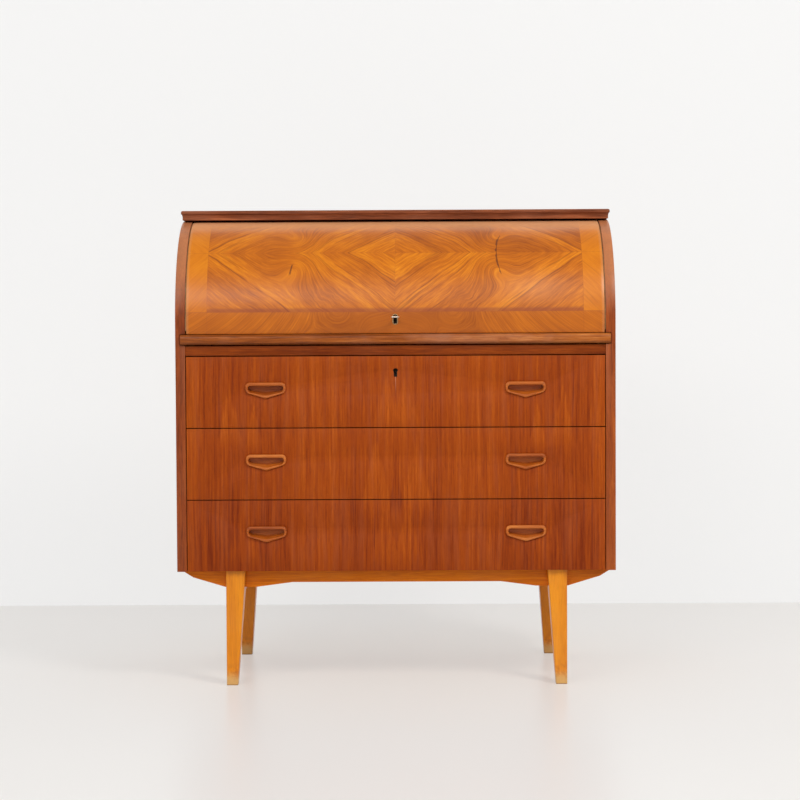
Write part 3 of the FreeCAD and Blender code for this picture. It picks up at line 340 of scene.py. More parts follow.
woods = {
    "sideTeak": sideTeak,
    "boardTeak": {
        **plainWood, "grain": "x", "scales": (6.0, 60.0, 380.0), "stretch": 22.0, "weights": (0.3, 0.5, 0.4),
        "tones": [(88, 40, 18), (118, 60, 32), (136, 72, 40), (170, 98, 60)],
        "veil": (150, 96, 72), "pores": 0.34, "roughness": 0.42, "specular": 0.14, "seed": 5.7,
    },
    "lipTeak": {
        **plainWood, "grain": "x", "scales": (7.0, 60.0, 400.0), "stretch": 22.0, "weights": (0.42, 0.5, 0.4),
        "stops": (0.15, 0.42, 0.6, 0.85), "tones": [(112, 52, 12), (146, 74, 20), (166, 90, 30), (196, 122, 62)],
        "veil": (168, 112, 84), "veilShare": 0.55, "pores": 0.36, "roughness": 0.36, "specular": 0.2, "seed": 8.3,
        # painted shade on the lip's underside
        "paintedUnderShade": 0.5,
    },
    # the rail's teak tones are darkened by a painted shade, for the lip's shadow above it
    "railTeak": {
        **plainWood, "grain": "x", "scales": (5.0, 50.0, 380.0), "stretch": 22.0, "weights": (0.35, 0.5, 0.35),
        "tones": [(100, 38, 8), (124, 52, 10), (138, 60, 12), (160, 78, 20)],
        "veil": (134, 70, 42), "veilShare": 0.2, "roughness": 0.5, "specular": 0.08, "seed": 11.9,
    },
    "pullTeak": {
        **plainWood, "grain": "x", "scales": (9.0, 70.0, 420.0), "stretch": 16.0, "weights": (0.35, 0.45, 0.3),
        "tones": [(142, 62, 14), (168, 82, 20), (182, 94, 26), (200, 116, 46)],
        "veil": (182, 108, 64), "pores": 0.24, "roughness": 0.4, "specular": 0.3, "seed": 14.2,
    },
    "goldBeech": {
        **goldLevel, "grain": "z",
        "tones": [(200, 112, 6), (217, 130, 9), (225, 139, 12), (234, 157, 30)],
        "veil": (228, 160, 84), "specular": 0.3, "coat": 0.08, "seed": 17.5, "worn": 0.024,
    },
    "goldBeechLevel": goldLevel,
    "goldBeechDeep": {**goldLevel, "grain": "y", "specular": 0.25, "coat": 0.05, "seed": 23.0},
    "liningBeech": {
        **plainWood, "grain": "y", "scales": (5.0, 50.0, 360.0), "stretch": 18.0, "weights": (0.3, 0.4, 0.3),
        "stops": (0.2, 0.5, 0.85), "tones": [(176, 136, 92), (202, 164, 118), (222, 190, 148)],
        "veil": (206, 172, 132), "veilShare": 0.2, "pores": 0.2, "roughness": 0.62, "specular": 0.2, "seed": 26.0,
    },
    "insertMahogany": mahogany,
    "insertUpright": {**mahogany, "grain": "z", "seed": 31.0},
    "backPly": {
        **plainWood, "grain": "z", "scales": (4.0, 38.0, 300.0), "stretch": 24.0, "weights": (0.35, 0.5, 0.3),
        "stops": (0.2, 0.5, 0.85), "tones": [(140, 84, 50), (168, 108, 68), (192, 134, 92)],
        "veil": (170, 124, 92), "roughness": 0.6, "specular": 0.2, "seed": 34.0,
    },
    "sideTeakLeft": {
        **sideTeak, "seed": 4.6,
        "tones": [(104, 42, 12), (132, 58, 18), (146, 66, 20), (166, 86, 34)],
    },
}
# painted light: how tones turn with the way that a face looks: sine of its elevation from and to, and the last tone
turning = {
    "faded": (0.02, 0.6, (210, 148, 104)),  # painted sheen: faces that look up are paled where the light from above falls
    "paintedUnderShade": (-0.1, -0.7, (84, 38, 16)),  # painted shade on faces that look down
}


def grainField(look, place):
    # The sum of three noises drawn out along the grain: broad bands, streaks and fibres.
    total = None
    for n, (across, weight, detail) in enumerate(zip(look["scales"], look["weights"], look["details"])):
        along = across / (look["stretch"] if n else look["stretch"] / 3)
        scale = [along if axis == look["grain"] else across for axis in "xyz"]
        fine = noiseAt(mapped(place, look["seed"] + n * 1.7, scale), 1.0, detail, 0.55)
        part = (fine - 0.5) * (weight * 2.2)
        total = part + 0.5 if total is None else total + part
    return total, fine


def poreField(place, grain, seed):
    # short dark dashes: a fine noise drawn out along the grain, of which only the peaks are kept
    scale = [60.0 if axis == grain else 1500.0 for axis in "xyz"]
    return step(noiseAt(mapped(place, seed, scale), 1.0, 1.0), 0.56, 0.7)


def coated(shader, look, tone, fine, pores):
    # the colour of a wood, with a sheen and a relief that follow its fibres and pores
    strength, distance = look["relief"]
    height = pores * -0.6 + fine if pores else fine
    feed(shader, {
        "Base Color": tone,
        "Roughness": fine * 0.16 + (look["roughness"] - 0.08),
        "Specular IOR Level": look["specular"],
        "Normal": addNode(tone.tree, "Bump", {"Strength": strength, "Distance": distance, "Height": height}),
    })


def wood(name, look):
    # oiled or lacquered wood: a tone ramp over the grain field, a greyish veil in patches, and dark pores
    material, tree, shader = newMaterial(name)
    place = addNode(tree, "TexCoord", output="Object")
    drift = addNode(tree, "TexNoise", {"Vector": place, "Scale": 5.0, "Detail": 2.0}, output="Color")
    shift = addNode(tree, "VectorMath", {0: drift, 1: (0.5, 0.5, 0.5)}, operation="SUBTRACT")
    bend = addNode(tree, "VectorMath", {0: shift, "Scale": look["sway"]}, operation="SCALE")
    waved = addNode(tree, "VectorMath", {0: place, 1: bend}, operation="ADD")
    total, fine = grainField(look, waved)
    tone = ramp(total, list(zip(look["stops"], look["tones"])))
    tone = tinted(tone, step(noiseAt(waved, 9.0, 3.0), 0.42, 0.72, look["veilShare"]), look["veil"])
    pores = poreField(waved, look["grain"], look["seed"])
    tone = tinted(tone, pores * look["pores"], look["poreTone"])
    if "worn" in look:
        tone = wornFootAndContactShade(tone, place, look["worn"])
    # painted light: faces that look up get a painted sheen, faces that look down a painted shade
    upward = splitVector(addNode(tree, "NewGeometry", output="Normal"))[2]
    for key, (low, high, end) in turning.items():
        if key in look:
            tone = tinted(tone, step(upward, low, high, look[key]), end)
    feed(shader, {"Coat Weight": look["coat"], "Coat Roughness": 0.18})
    coated(shader, look, tone, fine, pores)
    return material


# the feet's stain and bare wood are wear; their dark edge is a painted contact shadow
footTones = {"stain": (166, 88, 36), "bare": (206, 166, 104), "edge": (110, 74, 40)}


def wornFootAndContactShade(tone, place, top):
    # the last part above the floor has lost its finish, with a stain above, and a painted contact shadow darkens its
    # lowest edge
    z = splitVector(place)[2]
    ragged = noiseAt(place, 120.0, 3.0)
    height = (ragged - 0.5) * (top * 0.7) + z
    stain = step(height, top * 2.3, top * 1.2) * step(ragged, 0.42, 0.62, 0.42)
    tone = tinted(tone, stain, footTones["stain"])
    tone = tinted(tone, step(height, top * 1.35, top * 0.35, 0.8), footTones["bare"])
    # painted contact shadow along the lowest few millimetres
    return tinted(tone, step(z, 0.0026, 0.0012, 0.6), footTones["edge"])


finishes = {name: wood(name, look) for name, look in woods.items()}


# The drawers' veneer: upright streaks and pointed flames, matched in a mirror line at mid width

drawerLook = {
    "tones": [
        (0.1, (116, 40, 6)), (0.34, (140, 56, 8)), (0.5, (152, 64, 8)), (0.66, (162, 72, 10)), (0.95, (182, 88, 20)),
    ],
    # share of golden wood at distances from mid width
    "zones": [
        (0.0, 0.5), (0.05, 0.52), (0.08, 0.42), (0.115, 0.6), (0.2, 0.6), (0.235, 0.42), (0.33, 0.4), (0.4, 0.44),
        (0.43, 0.62),
    ],
    # noises: scale across and along the grain, detail and offset
    "bands": (42.0, 0.7, 2.0, 1.0),
    "streaks": (150.0, 2.4, 3.0, 5.0),
    "fibres": (330.0, 12.0, 4.0, 9.0),
    "ragged": (260.0, 6.0, 3.0, 13.0),
    "patches": (60.0, 5.0, 4.0, 21.0),
    # flames, the last a dark one: distance from mid width, height of the tip, length, half width at the foot, strength
    "flames": [
        (0.34, 0.628, 0.08, 0.018, 0.2), (0.29, 0.59, 0.06, 0.012, 0.2), (0.041, 0.52, 0.1, 0.024, 0.18),
        (0.018, 0.65, 0.07, 0.018, 0.15), (0.31, 0.42, 0.1, 0.02, 0.12), (0.022, 0.385, 0.08, 0.02, 0.14),
        (0.0, 0.505, 0.09, 0.009, -0.2),
    ],
    "lowestShade": -0.12,  # painted shade: the lowest front is a little darker, as the light falls off towards the floor
    "lowestTop": 0.384,
    "pores": 0.3,
    "poreTone": (70, 28, 12),
    "haze": 0.24,
    "hazeTone": (152, 78, 46),
    "scratch": 0.35,  # a pale scratch below the lock, which fades on its way down
    "scratchRise": (0.594, 0.636, 0.641),
    "scratchTone": (206, 160, 132),
    "roughness": 0.5,
    "specular": 0.1,
    "relief": (0.14, 0.0003),
}


def drawerVeneer(name, look):
    material, tree, shader = newMaterial(name)
    place = addNode(tree, "TexCoord", output="Object")
    x, _, z = splitVector(place)
    drift = noiseAt(place, 4.0, 2.0) - 0.5
    side = drift * 0.012 + abs(x)

    def drawn(value, key):
        across, along, detail, offset = look[key]
        return noiseAt(joinVector(value * across, offset, z * along), 1.0, detail, 0.6)

    fibres = drawn(x, "fibres")
    total = (drawn(side, "bands") - 0.5) * 0.45 + shareAt(side, look["zones"], 2.2)
    total = total + (drawn(side, "streaks") - 0.5) + (fibres - 0.5)
    ragged = (drawn(side, "ragged") - 0.5) * 1.3
    for middle, tip, length, half, strength in look["flames"]:
        # inside a flame: as far below its tip as the ragged distance from its middle asks for
        down = (tip - z) * (1 / length)
        depth = down - abs(side - middle) * (1 / half) + ragged
        total = total + step(depth, 0.0, 0.26) * step(down, 1.9, 1.3, strength)
    # painted shade on the lowest front
    total = total + step(z, look["lowestTop"], look["lowestTop"] - 0.001, look["lowestShade"])
    tone = ramp(total, look["tones"])
    pores = poreField(place, "z", 2.2)
    tone = tinted(tone, pores * look["pores"], look["poreTone"])
    tone = tinted(tone, step(drawn(side, "patches"), 0.46, 0.66, look["haze"]), look["hazeTone"])
    low, full, top = look["scratchRise"]
    run = step(z, low, full) * step(z, top, full + 0.001)
    scratch = step(abs(drift * 0.003 + x), 0.001, 0.0004, look["scratch"]) * run
    tone = tinted(tone, scratch, look["scratchTone"])
    coated(shader, look, tone, fibres, pores)
    return material


finishes["drawerTeak"] = drawerVeneer("drawerTeak", drawerLook)


# The cylinder's veneer: four matched quarters round a level seam and an upright one, with bands at the ends and foot

veneerLook = {
    "seamArc": 0.1583,  # arc from the cylinder's level line up to the level seam
    "footArc": 0.023,  # top of the band along the lower edge
    "endIn": 0.385,  # where the bands at the ends start
    "rubbedIn": 0.4215,
    "slope": 38.0,  # between the grain and the level seam
    "wander": 0.01,
    "uneven": 0.012,
    # humps: place from mid width and off the seam, reach in both directions, push
    "knot": (0.202, 0.038, 0.038, 0.04, 0.049),
    "ruffle": (0.14, 0.113, 0.04, 0.026, 0.022),
    "glow": (0.194, 0.024, 0.026, 0.034, 0.14),  # the golden wood beside the knot
    "pale": (0.29, 0.085, 0.07, 0.03, 0.18),  # a painted sheen at the lower right, where the light from the right falls
    "tones": [
        (0.08, (146, 70, 10)), (0.34, (174, 90, 12)), (0.5, (190, 102, 13)), (0.68, (207, 119, 14)),
        (0.95, (224, 142, 24)),
    ],
    # brightness of the wood from the middle lozenge outwards
    "zones": [
        (0.0, 0.54), (0.0125, 0.54), (0.0165, 0.61), (0.052, 0.64), (0.057, 0.42), (0.066, 0.4), (0.07, 0.5),
        (0.096, 0.52), (0.0985, 0.42), (0.102, 0.64), (0.114, 0.6), (0.118, 0.46), (0.13, 0.58), (0.139, 0.54),
        (0.146, 0.4), (0.2, 0.42), (0.21, 0.5), (0.224, 0.62), (0.2375, 0.64), (0.2415, 0.42), (0.25, 0.5),
        (0.268, 0.46), (0.276, 0.34), (0.29, 0.38), (0.296, 0.48), (0.384, 0.48),
    ],
    "upperRight": -0.12,  # the upper right quarter is darker
    # dark growth lines: ring, half width, strength
    "rings": [
        (0.015, 0.001, 0.22), (0.0575, 0.0013, 0.5), (0.0655, 0.0011, 0.4), (0.0985, 0.001, 0.36),
        (0.118, 0.001, 0.3), (0.147, 0.0012, 0.34), (0.203, 0.001, 0.34), (0.241, 0.0014, 0.6),
    ],
    "ringTone": (92, 40, 18),
    # noises: scale across and along the grain, detail, offset, and how far the right half's differs
    "bands": (46.0, 3.0, 2.0, 2.4, 0.15),
    "streaks": (150.0, 6.0, 3.0, 4.4, 0.4),
    "fibres": (310.0, 32.0, 4.0, 6.4, 5.0),
    "lines": (210.0, 5.0, 2.0, 9.1, 0.6),
    "breaks": (60.0, 14.0, 2.0, 17.0, 2.0),
    "lineTone": (122, 52, 14),
    "footMiddle": (0.118, 0.028, 0.0),  # the point that the foot band's loops run round
    "splitIn": 0.2105,  # the knot's split at the seam
    "splitTone": (84, 36, 20),
    "jointTone": (140, 66, 36),
    # the tone of the painted sheen
    "sheenTone": (232, 172, 126),
    "rubbedTone": (196, 156, 118),
    "roughness": 0.32,
    "specular": 0.34,
    "relief": (0.14, 0.0003),
    "seed": 2.4,
}


def veneerMaterial(name, look):
    material, tree, shader = newMaterial(name)
    flat = addNode(tree, "UVMap", uv_map="surface")
    across, arc, _ = splitVector(flat)
    side = abs(across)
    above = arc - look["seamArc"]
    lift = abs(above)
    quarter = joinVector(side, lift, look["seed"])

    def hump(form):
        # one at a place and fading in both directions, times its push
        first, second = ((value - middle) * (1 / reach) for value, middle, reach in zip((side, lift), form, form[2:]))
        return ((first * first + second * second) * -1.0).math("EXPONENT") * form[4]

    # In the matched quarters the grain runs in rings of lozenges, and swells round a knot.
    slope = math.radians(look["slope"])
    along = side * math.cos(slope) - lift * math.sin(slope)
    curl = (noiseAt(quarter, 42.0, 2.0) - 0.5) * hump(look["ruffle"])
    wander = (noiseAt(quarter, 11.0, 2.0) - 0.5) * look["wander"]
    uneven = (noiseAt(flat, 9.0, 2.0) - 0.5) * look["uneven"]
    ring = side * math.sin(slope) + lift * math.cos(slope) + hump(look["knot"]) + curl + wander + uneven

    # The end bands' grain falls towards the seam. The foot band's runs in loops round a point above it, level near
    # mid width and fanned out towards the ends.
    past = side - look["endIn"]
    footSpot = joinVector(side, arc, 0.0)
    loops = addNode(tree, "VectorMath", {0: footSpot, 1: look["footMiddle"]}, output="Value", operation="DISTANCE")
    fan = arc * largest(side * 5.0 - 0.4, 0.3) + (side - look["footMiddle"][0])
    footRing = blendValues(step(side, 0.145, 0.19), loops, fan)
    footRing = blendValues(step(side, 0.104, 0.05), footRing, side * 0.25 + arc)
    inEnd = side > look["endIn"]
    inFoot = arc < look["footArc"]
    rightHand = across > 0.0
    zone = largest(inFoot * 2.0, inEnd)

    def choose(main, end, foot):
        return blendValues(inFoot, blendValues(inEnd, main, end), foot)

    wave = wander * 0.6
    ringHere = choose(ring, (lift - past) * 0.7 + wave, footRing + wave)
    alongHere = choose(along, (lift + past) * 0.7, side * 0.5 + arc)

    def drawn(key):
        # noise drawn out along the grain, its own in each sort of band and, by a share, in each half
        acrossScale, alongScale, detail, offset, own = look[key]
        layer = rightHand * own + (zone * 7.3 + offset)
        return noiseAt(joinVector(ringHere * acrossScale, alongHere * alongScale, layer), 1.0, detail, 0.6)

    fibres = drawn("fibres")
    grain = (drawn("bands") - 0.5) * 0.2 + (drawn("streaks") - 0.5) * 0.42 + (fibres - 0.5) * 0.9
    main = shareAt(ring, look["zones"], 2.6) + hump(look["glow"]) + rightHand * (above > 0.0) * look["upperRight"]
    # the right-hand band is more even than the left-hand one
    end = rightHand * step(lift, 0.03, 0.12, 0.05, -0.05) + step(lift, 0.03, 0.12, 0.56, 0.68)
    cloud = (noiseAt(flat, 14.0, 3.0) - 0.5) * 0.3
    base = choose(main, end, step(side, 0.1, 0.24, 0.4, 0.28)) + cloud
    gain = choose(1.0, 0.38, step(side, 0.05, 0.16, 0.85, 0.45))
    tone = ramp(grain * gain + base, look["tones"])

    # dark growth lines, the knot's split, the joints between the sheets, the painted sheen along the top and at the
    # lower right, and the rubbed ends
    tone = tinted(tone, step(drawn("lines"), 0.58, 0.7, 0.5) * gain, look["lineTone"])
    inside = 1.0 - largest(inEnd, inFoot)

    def strip(value, place, half, strength):
        return step(abs(value - place), half, half * 0.3, strength)

    unbroken = step(drawn("breaks"), 0.36, 0.56)
    for at, half, strength in look["rings"]:
        tone = tinted(tone, strip(ring, at, half, strength) * unbroken * inside, look["ringTone"])
    blots = noiseAt(flat, 90.0, 2.0)
    gap = abs(blots * 0.004 + side - (lift * lift * 3.0 + look["splitIn"])) / step(blots, 0.4, 0.62, 2.0, 0.8)
    leftPart = step(lift, 0.028, 0.034) * (above < 0.0)
    split = step(gap, 0.0015, 0.0006, 0.75) * step(lift, 0.058, 0.05) * largest(rightHand, leftPart)
    tone = tinted(tone, split, look["splitTone"])
    foot = look["footArc"]
    joints = largest(strip(arc, foot, 0.0012, 0.34), strip(side, look["endIn"], 0.0011, 0.2))
    joints = largest(joints, strip(lift, 0.0, 0.001, 0.22), strip(side, 0.0, 0.0009, 0.16) * inside)
    # a soft darker band just above the foot band's joint
    darkBandAboveFoot = step(arc, foot + 0.011, foot + 0.004, 0.65) * inside
    tone = tinted(tone, largest(joints, darkBandAboveFoot), look["jointTone"])
    # painted sheen along the top: a paler tone where the bright wall is reflected at a grazing angle
    faded = step(arc, 0.222, 0.275, 0.75) * step(blots, 0.2, 0.6, 1.0, 0.8)
    tone = tinted(tone, faded, look["sheenTone"])
    # painted sheen at the lower right
    tone = tinted(tone, rightHand * hump(look["pale"]), look["sheenTone"])
    tone = tinted(tone, step(side, look["rubbedIn"], look["rubbedIn"] + 0.003, 0.15), look["rubbedTone"])
    coated(shader, look, tone, fibres, None)
    return material


finishes["cylinderVeneer"] = veneerMaterial("cylinderVeneer", veneerLook)


metals = {
    "nickel": {"tone": (246, 240, 228), "spots": (206, 196, 174), "roughness": 0.3},
    "agedBrass": {"tone": (176, 144, 104), "spots": (128, 96, 62), "roughness": 0.42},
    "dullSteel": {"tone": (150, 148, 144), "spots": (104, 98, 90), "roughness": 0.42},
    # painted shade: the locks' steel is dark so that the keyholes in front of it look as dark as shade
    "keyholeShadeSteel": {"tone": (74, 66, 58), "spots": (34, 28, 24), "roughness": 0.6, "metallic": 0.6},
    "zincSteel": {"tone": (172, 172, 170), "spots": (132, 128, 120), "roughness": 0.38},
}


def metal(name, look):
    # worn plate: cloudy tarnish in the colour and roughness, over fine scratches
    material, tree, shader = newMaterial(name)
    place = addNode(tree, "TexCoord", output="Object")
    cloud = noiseAt(place, 420.0, 3.0)
    share = addNode(tree, "MapRange", {"Value": cloud, "From Min": 0.45, "From Max": 0.7, "To Max": 0.6})
    scratch = noiseAt(mapped(place, 0.0, (4000.0, 4000.0, 300.0)), 1.0, 1.0)
    feed(shader, {
        "Base Color": blendTones(share, srgb(*look["tone"]), srgb(*look["spots"])),
        "Roughness": cloud * 0.22 + (look["roughness"] - 0.1),
        "Metallic": look.get("metallic", 1.0),
        "Normal": addNode(tree, "Bump", {"Strength": 0.12, "Distance": 0.0001, "Height": scratch}),
    })
    return material


finishes.update({name: metal(name, look) for name, look in metals.items()})
print("finishes:", len(finishes), "materials")


# Surfaces


def filletLoop(corners, radii, inset=0.0, steps=6, runs=3):
    # A closed outline: the polygon's edges move inwards by inset, and an arc of the corner's radius less the inset
    # rounds each corner. An arc has steps + 1 points, and a straight run has runs points between its arcs.
    corner = np.array(corners, float)
    ahead = np.roll(corner, -1, axis=0) - corner
    ahead /= np.linalg.norm(ahead, axis=1, keepdims=True)
    behind = np.roll(ahead, 1, axis=0)
    turn = behind[:, 0] * ahead[:, 1] - behind[:, 1] * ahead[:, 0]
    cosine = (behind * ahead).sum(1)
    inwardBehind = np.column_stack([-behind[:, 1], behind[:, 0]])
    inwardAhead = np.column_stack([-ahead[:, 1], ahead[:, 0]])
    miter = (inwardBehind + inwardAhead) / (1 + cosine)[:, None]
    moved = corner + miter * inset
    inside = np.sign(turn)
    radius = np.maximum(np.array(radii, float) - inset * inside, 1e-5)
    half = np.abs(np.arctan2(turn, cosine)) / 2
    reach = radius * np.tan(half)
    share = np.linspace(-1, 1, steps + 1)
    middle = (inwardBehind + inwardAhead) * inside[:, None]
    middle /= np.linalg.norm(middle, axis=1, keepdims=True)
    centre = moved + middle * (radius / np.cos(half))[:, None]
    angle = np.arctan2(-middle[:, 1], -middle[:, 0])[:, None] + share * (half * inside)[:, None]
    arcs = centre[:, None] + np.stack([np.cos(angle), np.sin(angle)], -1) * radius[:, None, None]
    leave = arcs[:, -1]
    meet = np.roll(arcs[:, 0], -1, axis=0)
    along = np.linspace(0, 1, runs + 2)[1:-1]
    straight = leave[:, None] + (meet - leave)[:, None] * along[:, None]
    return np.concatenate([arcs, straight], axis=1).reshape(-1, 2)


def gridMesh(grid, wrapRows=False, wrapColumns=False, caps=False):
    # One quad for each cell of a grid of points. Rows or columns may close into rings, and caps fill the first
    # and last rows.
    rows, columns = grid.shape[:2]
    index = np.arange(rows * columns).reshape(rows, columns)
    cells = np.vstack([index, index[:1]]) if wrapRows else index
    cells = np.hstack([cells, cells[:, :1]]) if wrapColumns else cells
    quads = np.stack([cells[:-1, :-1], cells[1:, :-1], cells[1:, 1:], cells[:-1, 1:]], -1).reshape(-1, 4)
    faces = quads.tolist()
    if caps:
        faces += [index[0, ::-1].tolist(), index[-1].tolist()]
    return grid.reshape(-1, 3), faces


def joinShapes(shapes):
    points, faces, start = [], [], 0
    for shapePoints, shapeFaces in shapes:
        points.append(shapePoints)
        faces += [[start + i for i in face] for face in shapeFaces]
        start += len(shapePoints)
    return np.vstack(points), faces


def newPiece(name, shape, finish, replaced=None, body=None, sharpAngle=38, uv=None):
    # a mesh from points and faces, its normals outwards, on the body given or that of the node that it replaces
    points, faces = shape
    mesh = bpy.data.meshes.new(name)
    mesh.from_pydata(points.tolist(), [], faces)
    if uv is not None:
        layer = mesh.uv_layers.new(name="surface")
        corners = np.empty(len(mesh.loops), np.int32)
        mesh.loops.foreach_get("vertex_index", corners)
        layer.data.foreach_set("uv", uv[corners].astype(np.float32).ravel())
    work = bmesh.new()
    work.from_mesh(mesh)
    bmesh.ops.remove_doubles(work, verts=work.verts, dist=1e-7)
    bmesh.ops.recalc_face_normals(work, faces=work.faces)
    work.to_mesh(mesh)
    work.free()
    return placePiece(mesh, finish, sharpAngle, replaced, body)


def placePiece(mesh, finish, sharpAngle, replaced=None, body=None):
    mesh.shade_smooth()
    mesh.set_sharp_from_angle(angle=math.radians(sharpAngle))
    mesh.materials.clear()
    mesh.materials.append(finishes[finish])
    piece = linked(mesh.name, mesh)
    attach(piece, body or bodyOf[replaced])
    if replaced:
        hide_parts(replaced)
    return piece


boardAngles = {"flat": 0.4, "edge": 28, "sharp": 32}


def easedBoard(name, node, finish, ease, keep=None):
    # a copy of a CAD board, its triangles merged into flat faces and its edges eased
    mesh = nodes[node].data.copy()
    mesh.name = name
    board = bmesh.new()
    board.from_mesh(mesh)
    bmesh.ops.remove_doubles(board, verts=board.verts, dist=1e-6)
    if keep is not None:
        bmesh.ops.delete(board, geom=[v for v in board.verts if not keep(v.co)], context="VERTS")
    flat, edge = math.radians(boardAngles["flat"]), math.radians(boardAngles["edge"])
    bmesh.ops.dissolve_limit(board, angle_limit=flat, verts=board.verts, edges=board.edges)
    edges = [e for e in board.edges if len(e.link_faces) == 2 and e.calc_face_angle(0) > edge]
    bmesh.ops.bevel(board, geom=edges, offset=ease, segments=2, profile=0.5, affect="EDGES", clamp_overlap=True)
    board.to_mesh(mesh)
    board.free()
    if "custom_normal" in mesh.attributes:
        mesh.attributes.remove(mesh.attributes["custom_normal"])
    return placePiece(mesh, finish, boardAngles["sharp"], node)


def boxOf(node):
    low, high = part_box(node)
    return np.array(low), np.array(high)


# The cylinder

shell = {
    "axisY": -0.0005,
    "axisZ": 0.7455,
    "radius": 0.2165,
    "thickness": 0.013,
    "columns": 96,
    "rows": 120,
    "keyhole": (0.0048, 0.0138, 0.0048),  # half width, below and above the key's axis
    "keyZ": 0.7575,
    "arris": 0.0007,
    "arrisAngle": 50,
}


def cylinderShell():
    # A grid over width and angle: y = axis - radius cos(angle), z = axis + radius sin(angle). The cells behind the
    # escutcheon's keyhole are left out, and the wall is added inwards.
    low, high = boxOf("cylinder_shell")
    radius, axisZ = shell["radius"], shell["axisZ"]
    halfHole, below, up = shell["keyhole"]
    x = np.linspace(low[0], high[0], shell["columns"])
    x = np.unique(np.concatenate([x, [-halfHole, halfHole]]))
    first, *edges = (math.asin((z - axisZ) / radius) for z in (low[2], shell["keyZ"] - below, shell["keyZ"] + up))
    angle = np.unique(np.concatenate([np.linspace(first, math.pi / 2, shell["rows"]), edges]))
    grid = np.empty((len(angle), len(x), 3))
    grid[..., 0] = x
    grid[..., 1] = shell["axisY"] - radius * np.cos(angle)[:, None]
    grid[..., 2] = axisZ + radius * np.sin(angle)[:, None]
    points, faces = gridMesh(grid)
    middleX = (x[:-1] + x[1:]) / 2
    middleAngle = (angle[:-1] + angle[1:]) / 2
    hole = (np.abs(middleX)[None] < halfHole) & ((middleAngle > edges[0]) & (middleAngle < edges[1]))[:, None]
    faces = [face for face, cut in zip(faces, hole.ravel().tolist()) if not cut]
    used = np.unique(np.array(faces))
    rank = np.full(len(points), -1)
    rank[used] = np.arange(len(used))
    uv = np.stack([grid[..., 0], np.broadcast_to((angle * radius)[:, None], grid.shape[:2])], -1).reshape(-1, 2)
    shape = points[used], rank[np.array(faces)].tolist()
    piece = newPiece("cylinderPanel", shape, "cylinderVeneer", "cylinder_shell", uv=uv[used])
    wall = piece.modifiers.new("wall", "SOLIDIFY")
    wall.thickness = shell["thickness"]
    wall.offset = -1
    arris = piece.modifiers.new("arris", "BEVEL")
    arris.width = shell["arris"]
    arris.segments = 2
    arris.limit_method = "ANGLE"
    arris.angle_limit = math.radians(shell["arrisAngle"])


cylinderShell()


def radiusOf(directions, centre, radius):
    # how far each unit direction runs from the origin to a circle that holds it
    toCentre = directions @ np.array(centre)
    return toCentre + np.sqrt(radius**2 - np.dot(centre, centre) + toCentre**2)


def oblongReach(directions, low, high):
    # how far each unit direction runs from the origin to an oblong's sides
    with np.errstate(divide="ignore"):
        sides = np.where(directions > 0, np.array(high), np.array(low)) / directions
    return sides.min(1)


plateSizes = {
    "width": 0.012,
    "length": 0.022,
    "middle": -0.0035,  # from the key's axis, and the eye and the slot's foot from there
    "eye": 0.0035,
    "eyeRadius": 0.0045,
    "slot": 0.0035,  # half its width
    "slotFoot": -0.01,
    "edge": 0.0005,
    "dome": 0.0001,
}


def escutcheonRing():
    # The ring between a keyhole and an oblong with round ends, both measured out from one point along the same
    # directions. Its section is a low dome.
    low, high = boxOf("cylinder_escutcheon")
    p = plateSizes
    angle = np.linspace(0, 2 * math.pi, 96, endpoint=False)
    directions = np.column_stack([np.cos(angle), np.sin(angle)])
    originZ = shell["keyZ"] + p["middle"]
    slot = oblongReach(directions, (-p["slot"], p["slotFoot"]), (p["slot"], p["eye"]))
    hole = np.maximum(radiusOf(directions, (0, p["eye"]), p["eyeRadius"]), slot)
    half = p["width"] / 2
    straight = p["length"] / 2 - half
    middle = (low[2] + high[2]) / 2 - originZ
    toSide = half / np.maximum(np.abs(directions[:, 0]), 1e-9)
    hitZ = toSide * directions[:, 1]
    end = np.where(hitZ > middle, middle + straight, middle - straight)
    aside = directions[:, 1] * end
    toCap = aside + np.sqrt(np.maximum(half**2 - end**2 + aside**2, 0))
    outside = np.where(np.abs(hitZ - middle) <= straight, toSide, toCap)
    edge, dome = low[1] + p["edge"], low[1] + p["dome"]
    section = [(1.0, high[1]), (1.0, edge), (0.94, dome), (0.72, low[1]), (0.4, low[1]), (0.12, dome), (0.0, edge)]
    section.append((0.0, high[1]))
    grid = np.empty((len(section), len(angle), 3))
    for row, (share, y) in enumerate(section):
        reach = hole + (outside - hole) * share
        grid[row, :, 0] = directions[:, 0] * reach
        grid[row, :, 1] = y
        grid[row, :, 2] = originZ + directions[:, 1] * reach
    newPiece("keyholePlate", gridMesh(grid, wrapRows=True, wrapColumns=True), "agedBrass", "cylinder_escutcheon")


escutcheonRing()


keySizes = {
    "bowLow": -0.242, "bowHigh": -0.231, "bowHalf": 0.009, "bowRound": 0.0054, "bowThick": 0.002, "rim": 0.0034,
    "tip": 0.0012, "neck": 0.0019, "shank": 0.0022, "fillet": 0.0002, "collar": 0.0027, "collarY": (-0.221, -0.218),
    "ease": 0.0003, "end": -0.199, "endEase": 0.0004, "bitReach": 0.008, "bitLength": 0.005, "bitThick": 0.002,
}


def turned(profile, around=24):
    # a profile of (distance along +Y, radius) turned about the key's axis
    profile = np.array(profile)
    angle = np.linspace(0, 2 * math.pi, around, endpoint=False)
    grid = np.empty((len(profile), around, 3))
    grid[..., 0] = profile[:, 1:] * np.cos(angle)
    grid[..., 1] = profile[:, :1]
    grid[..., 2] = profile[:, 1:] * np.sin(angle)
    return grid


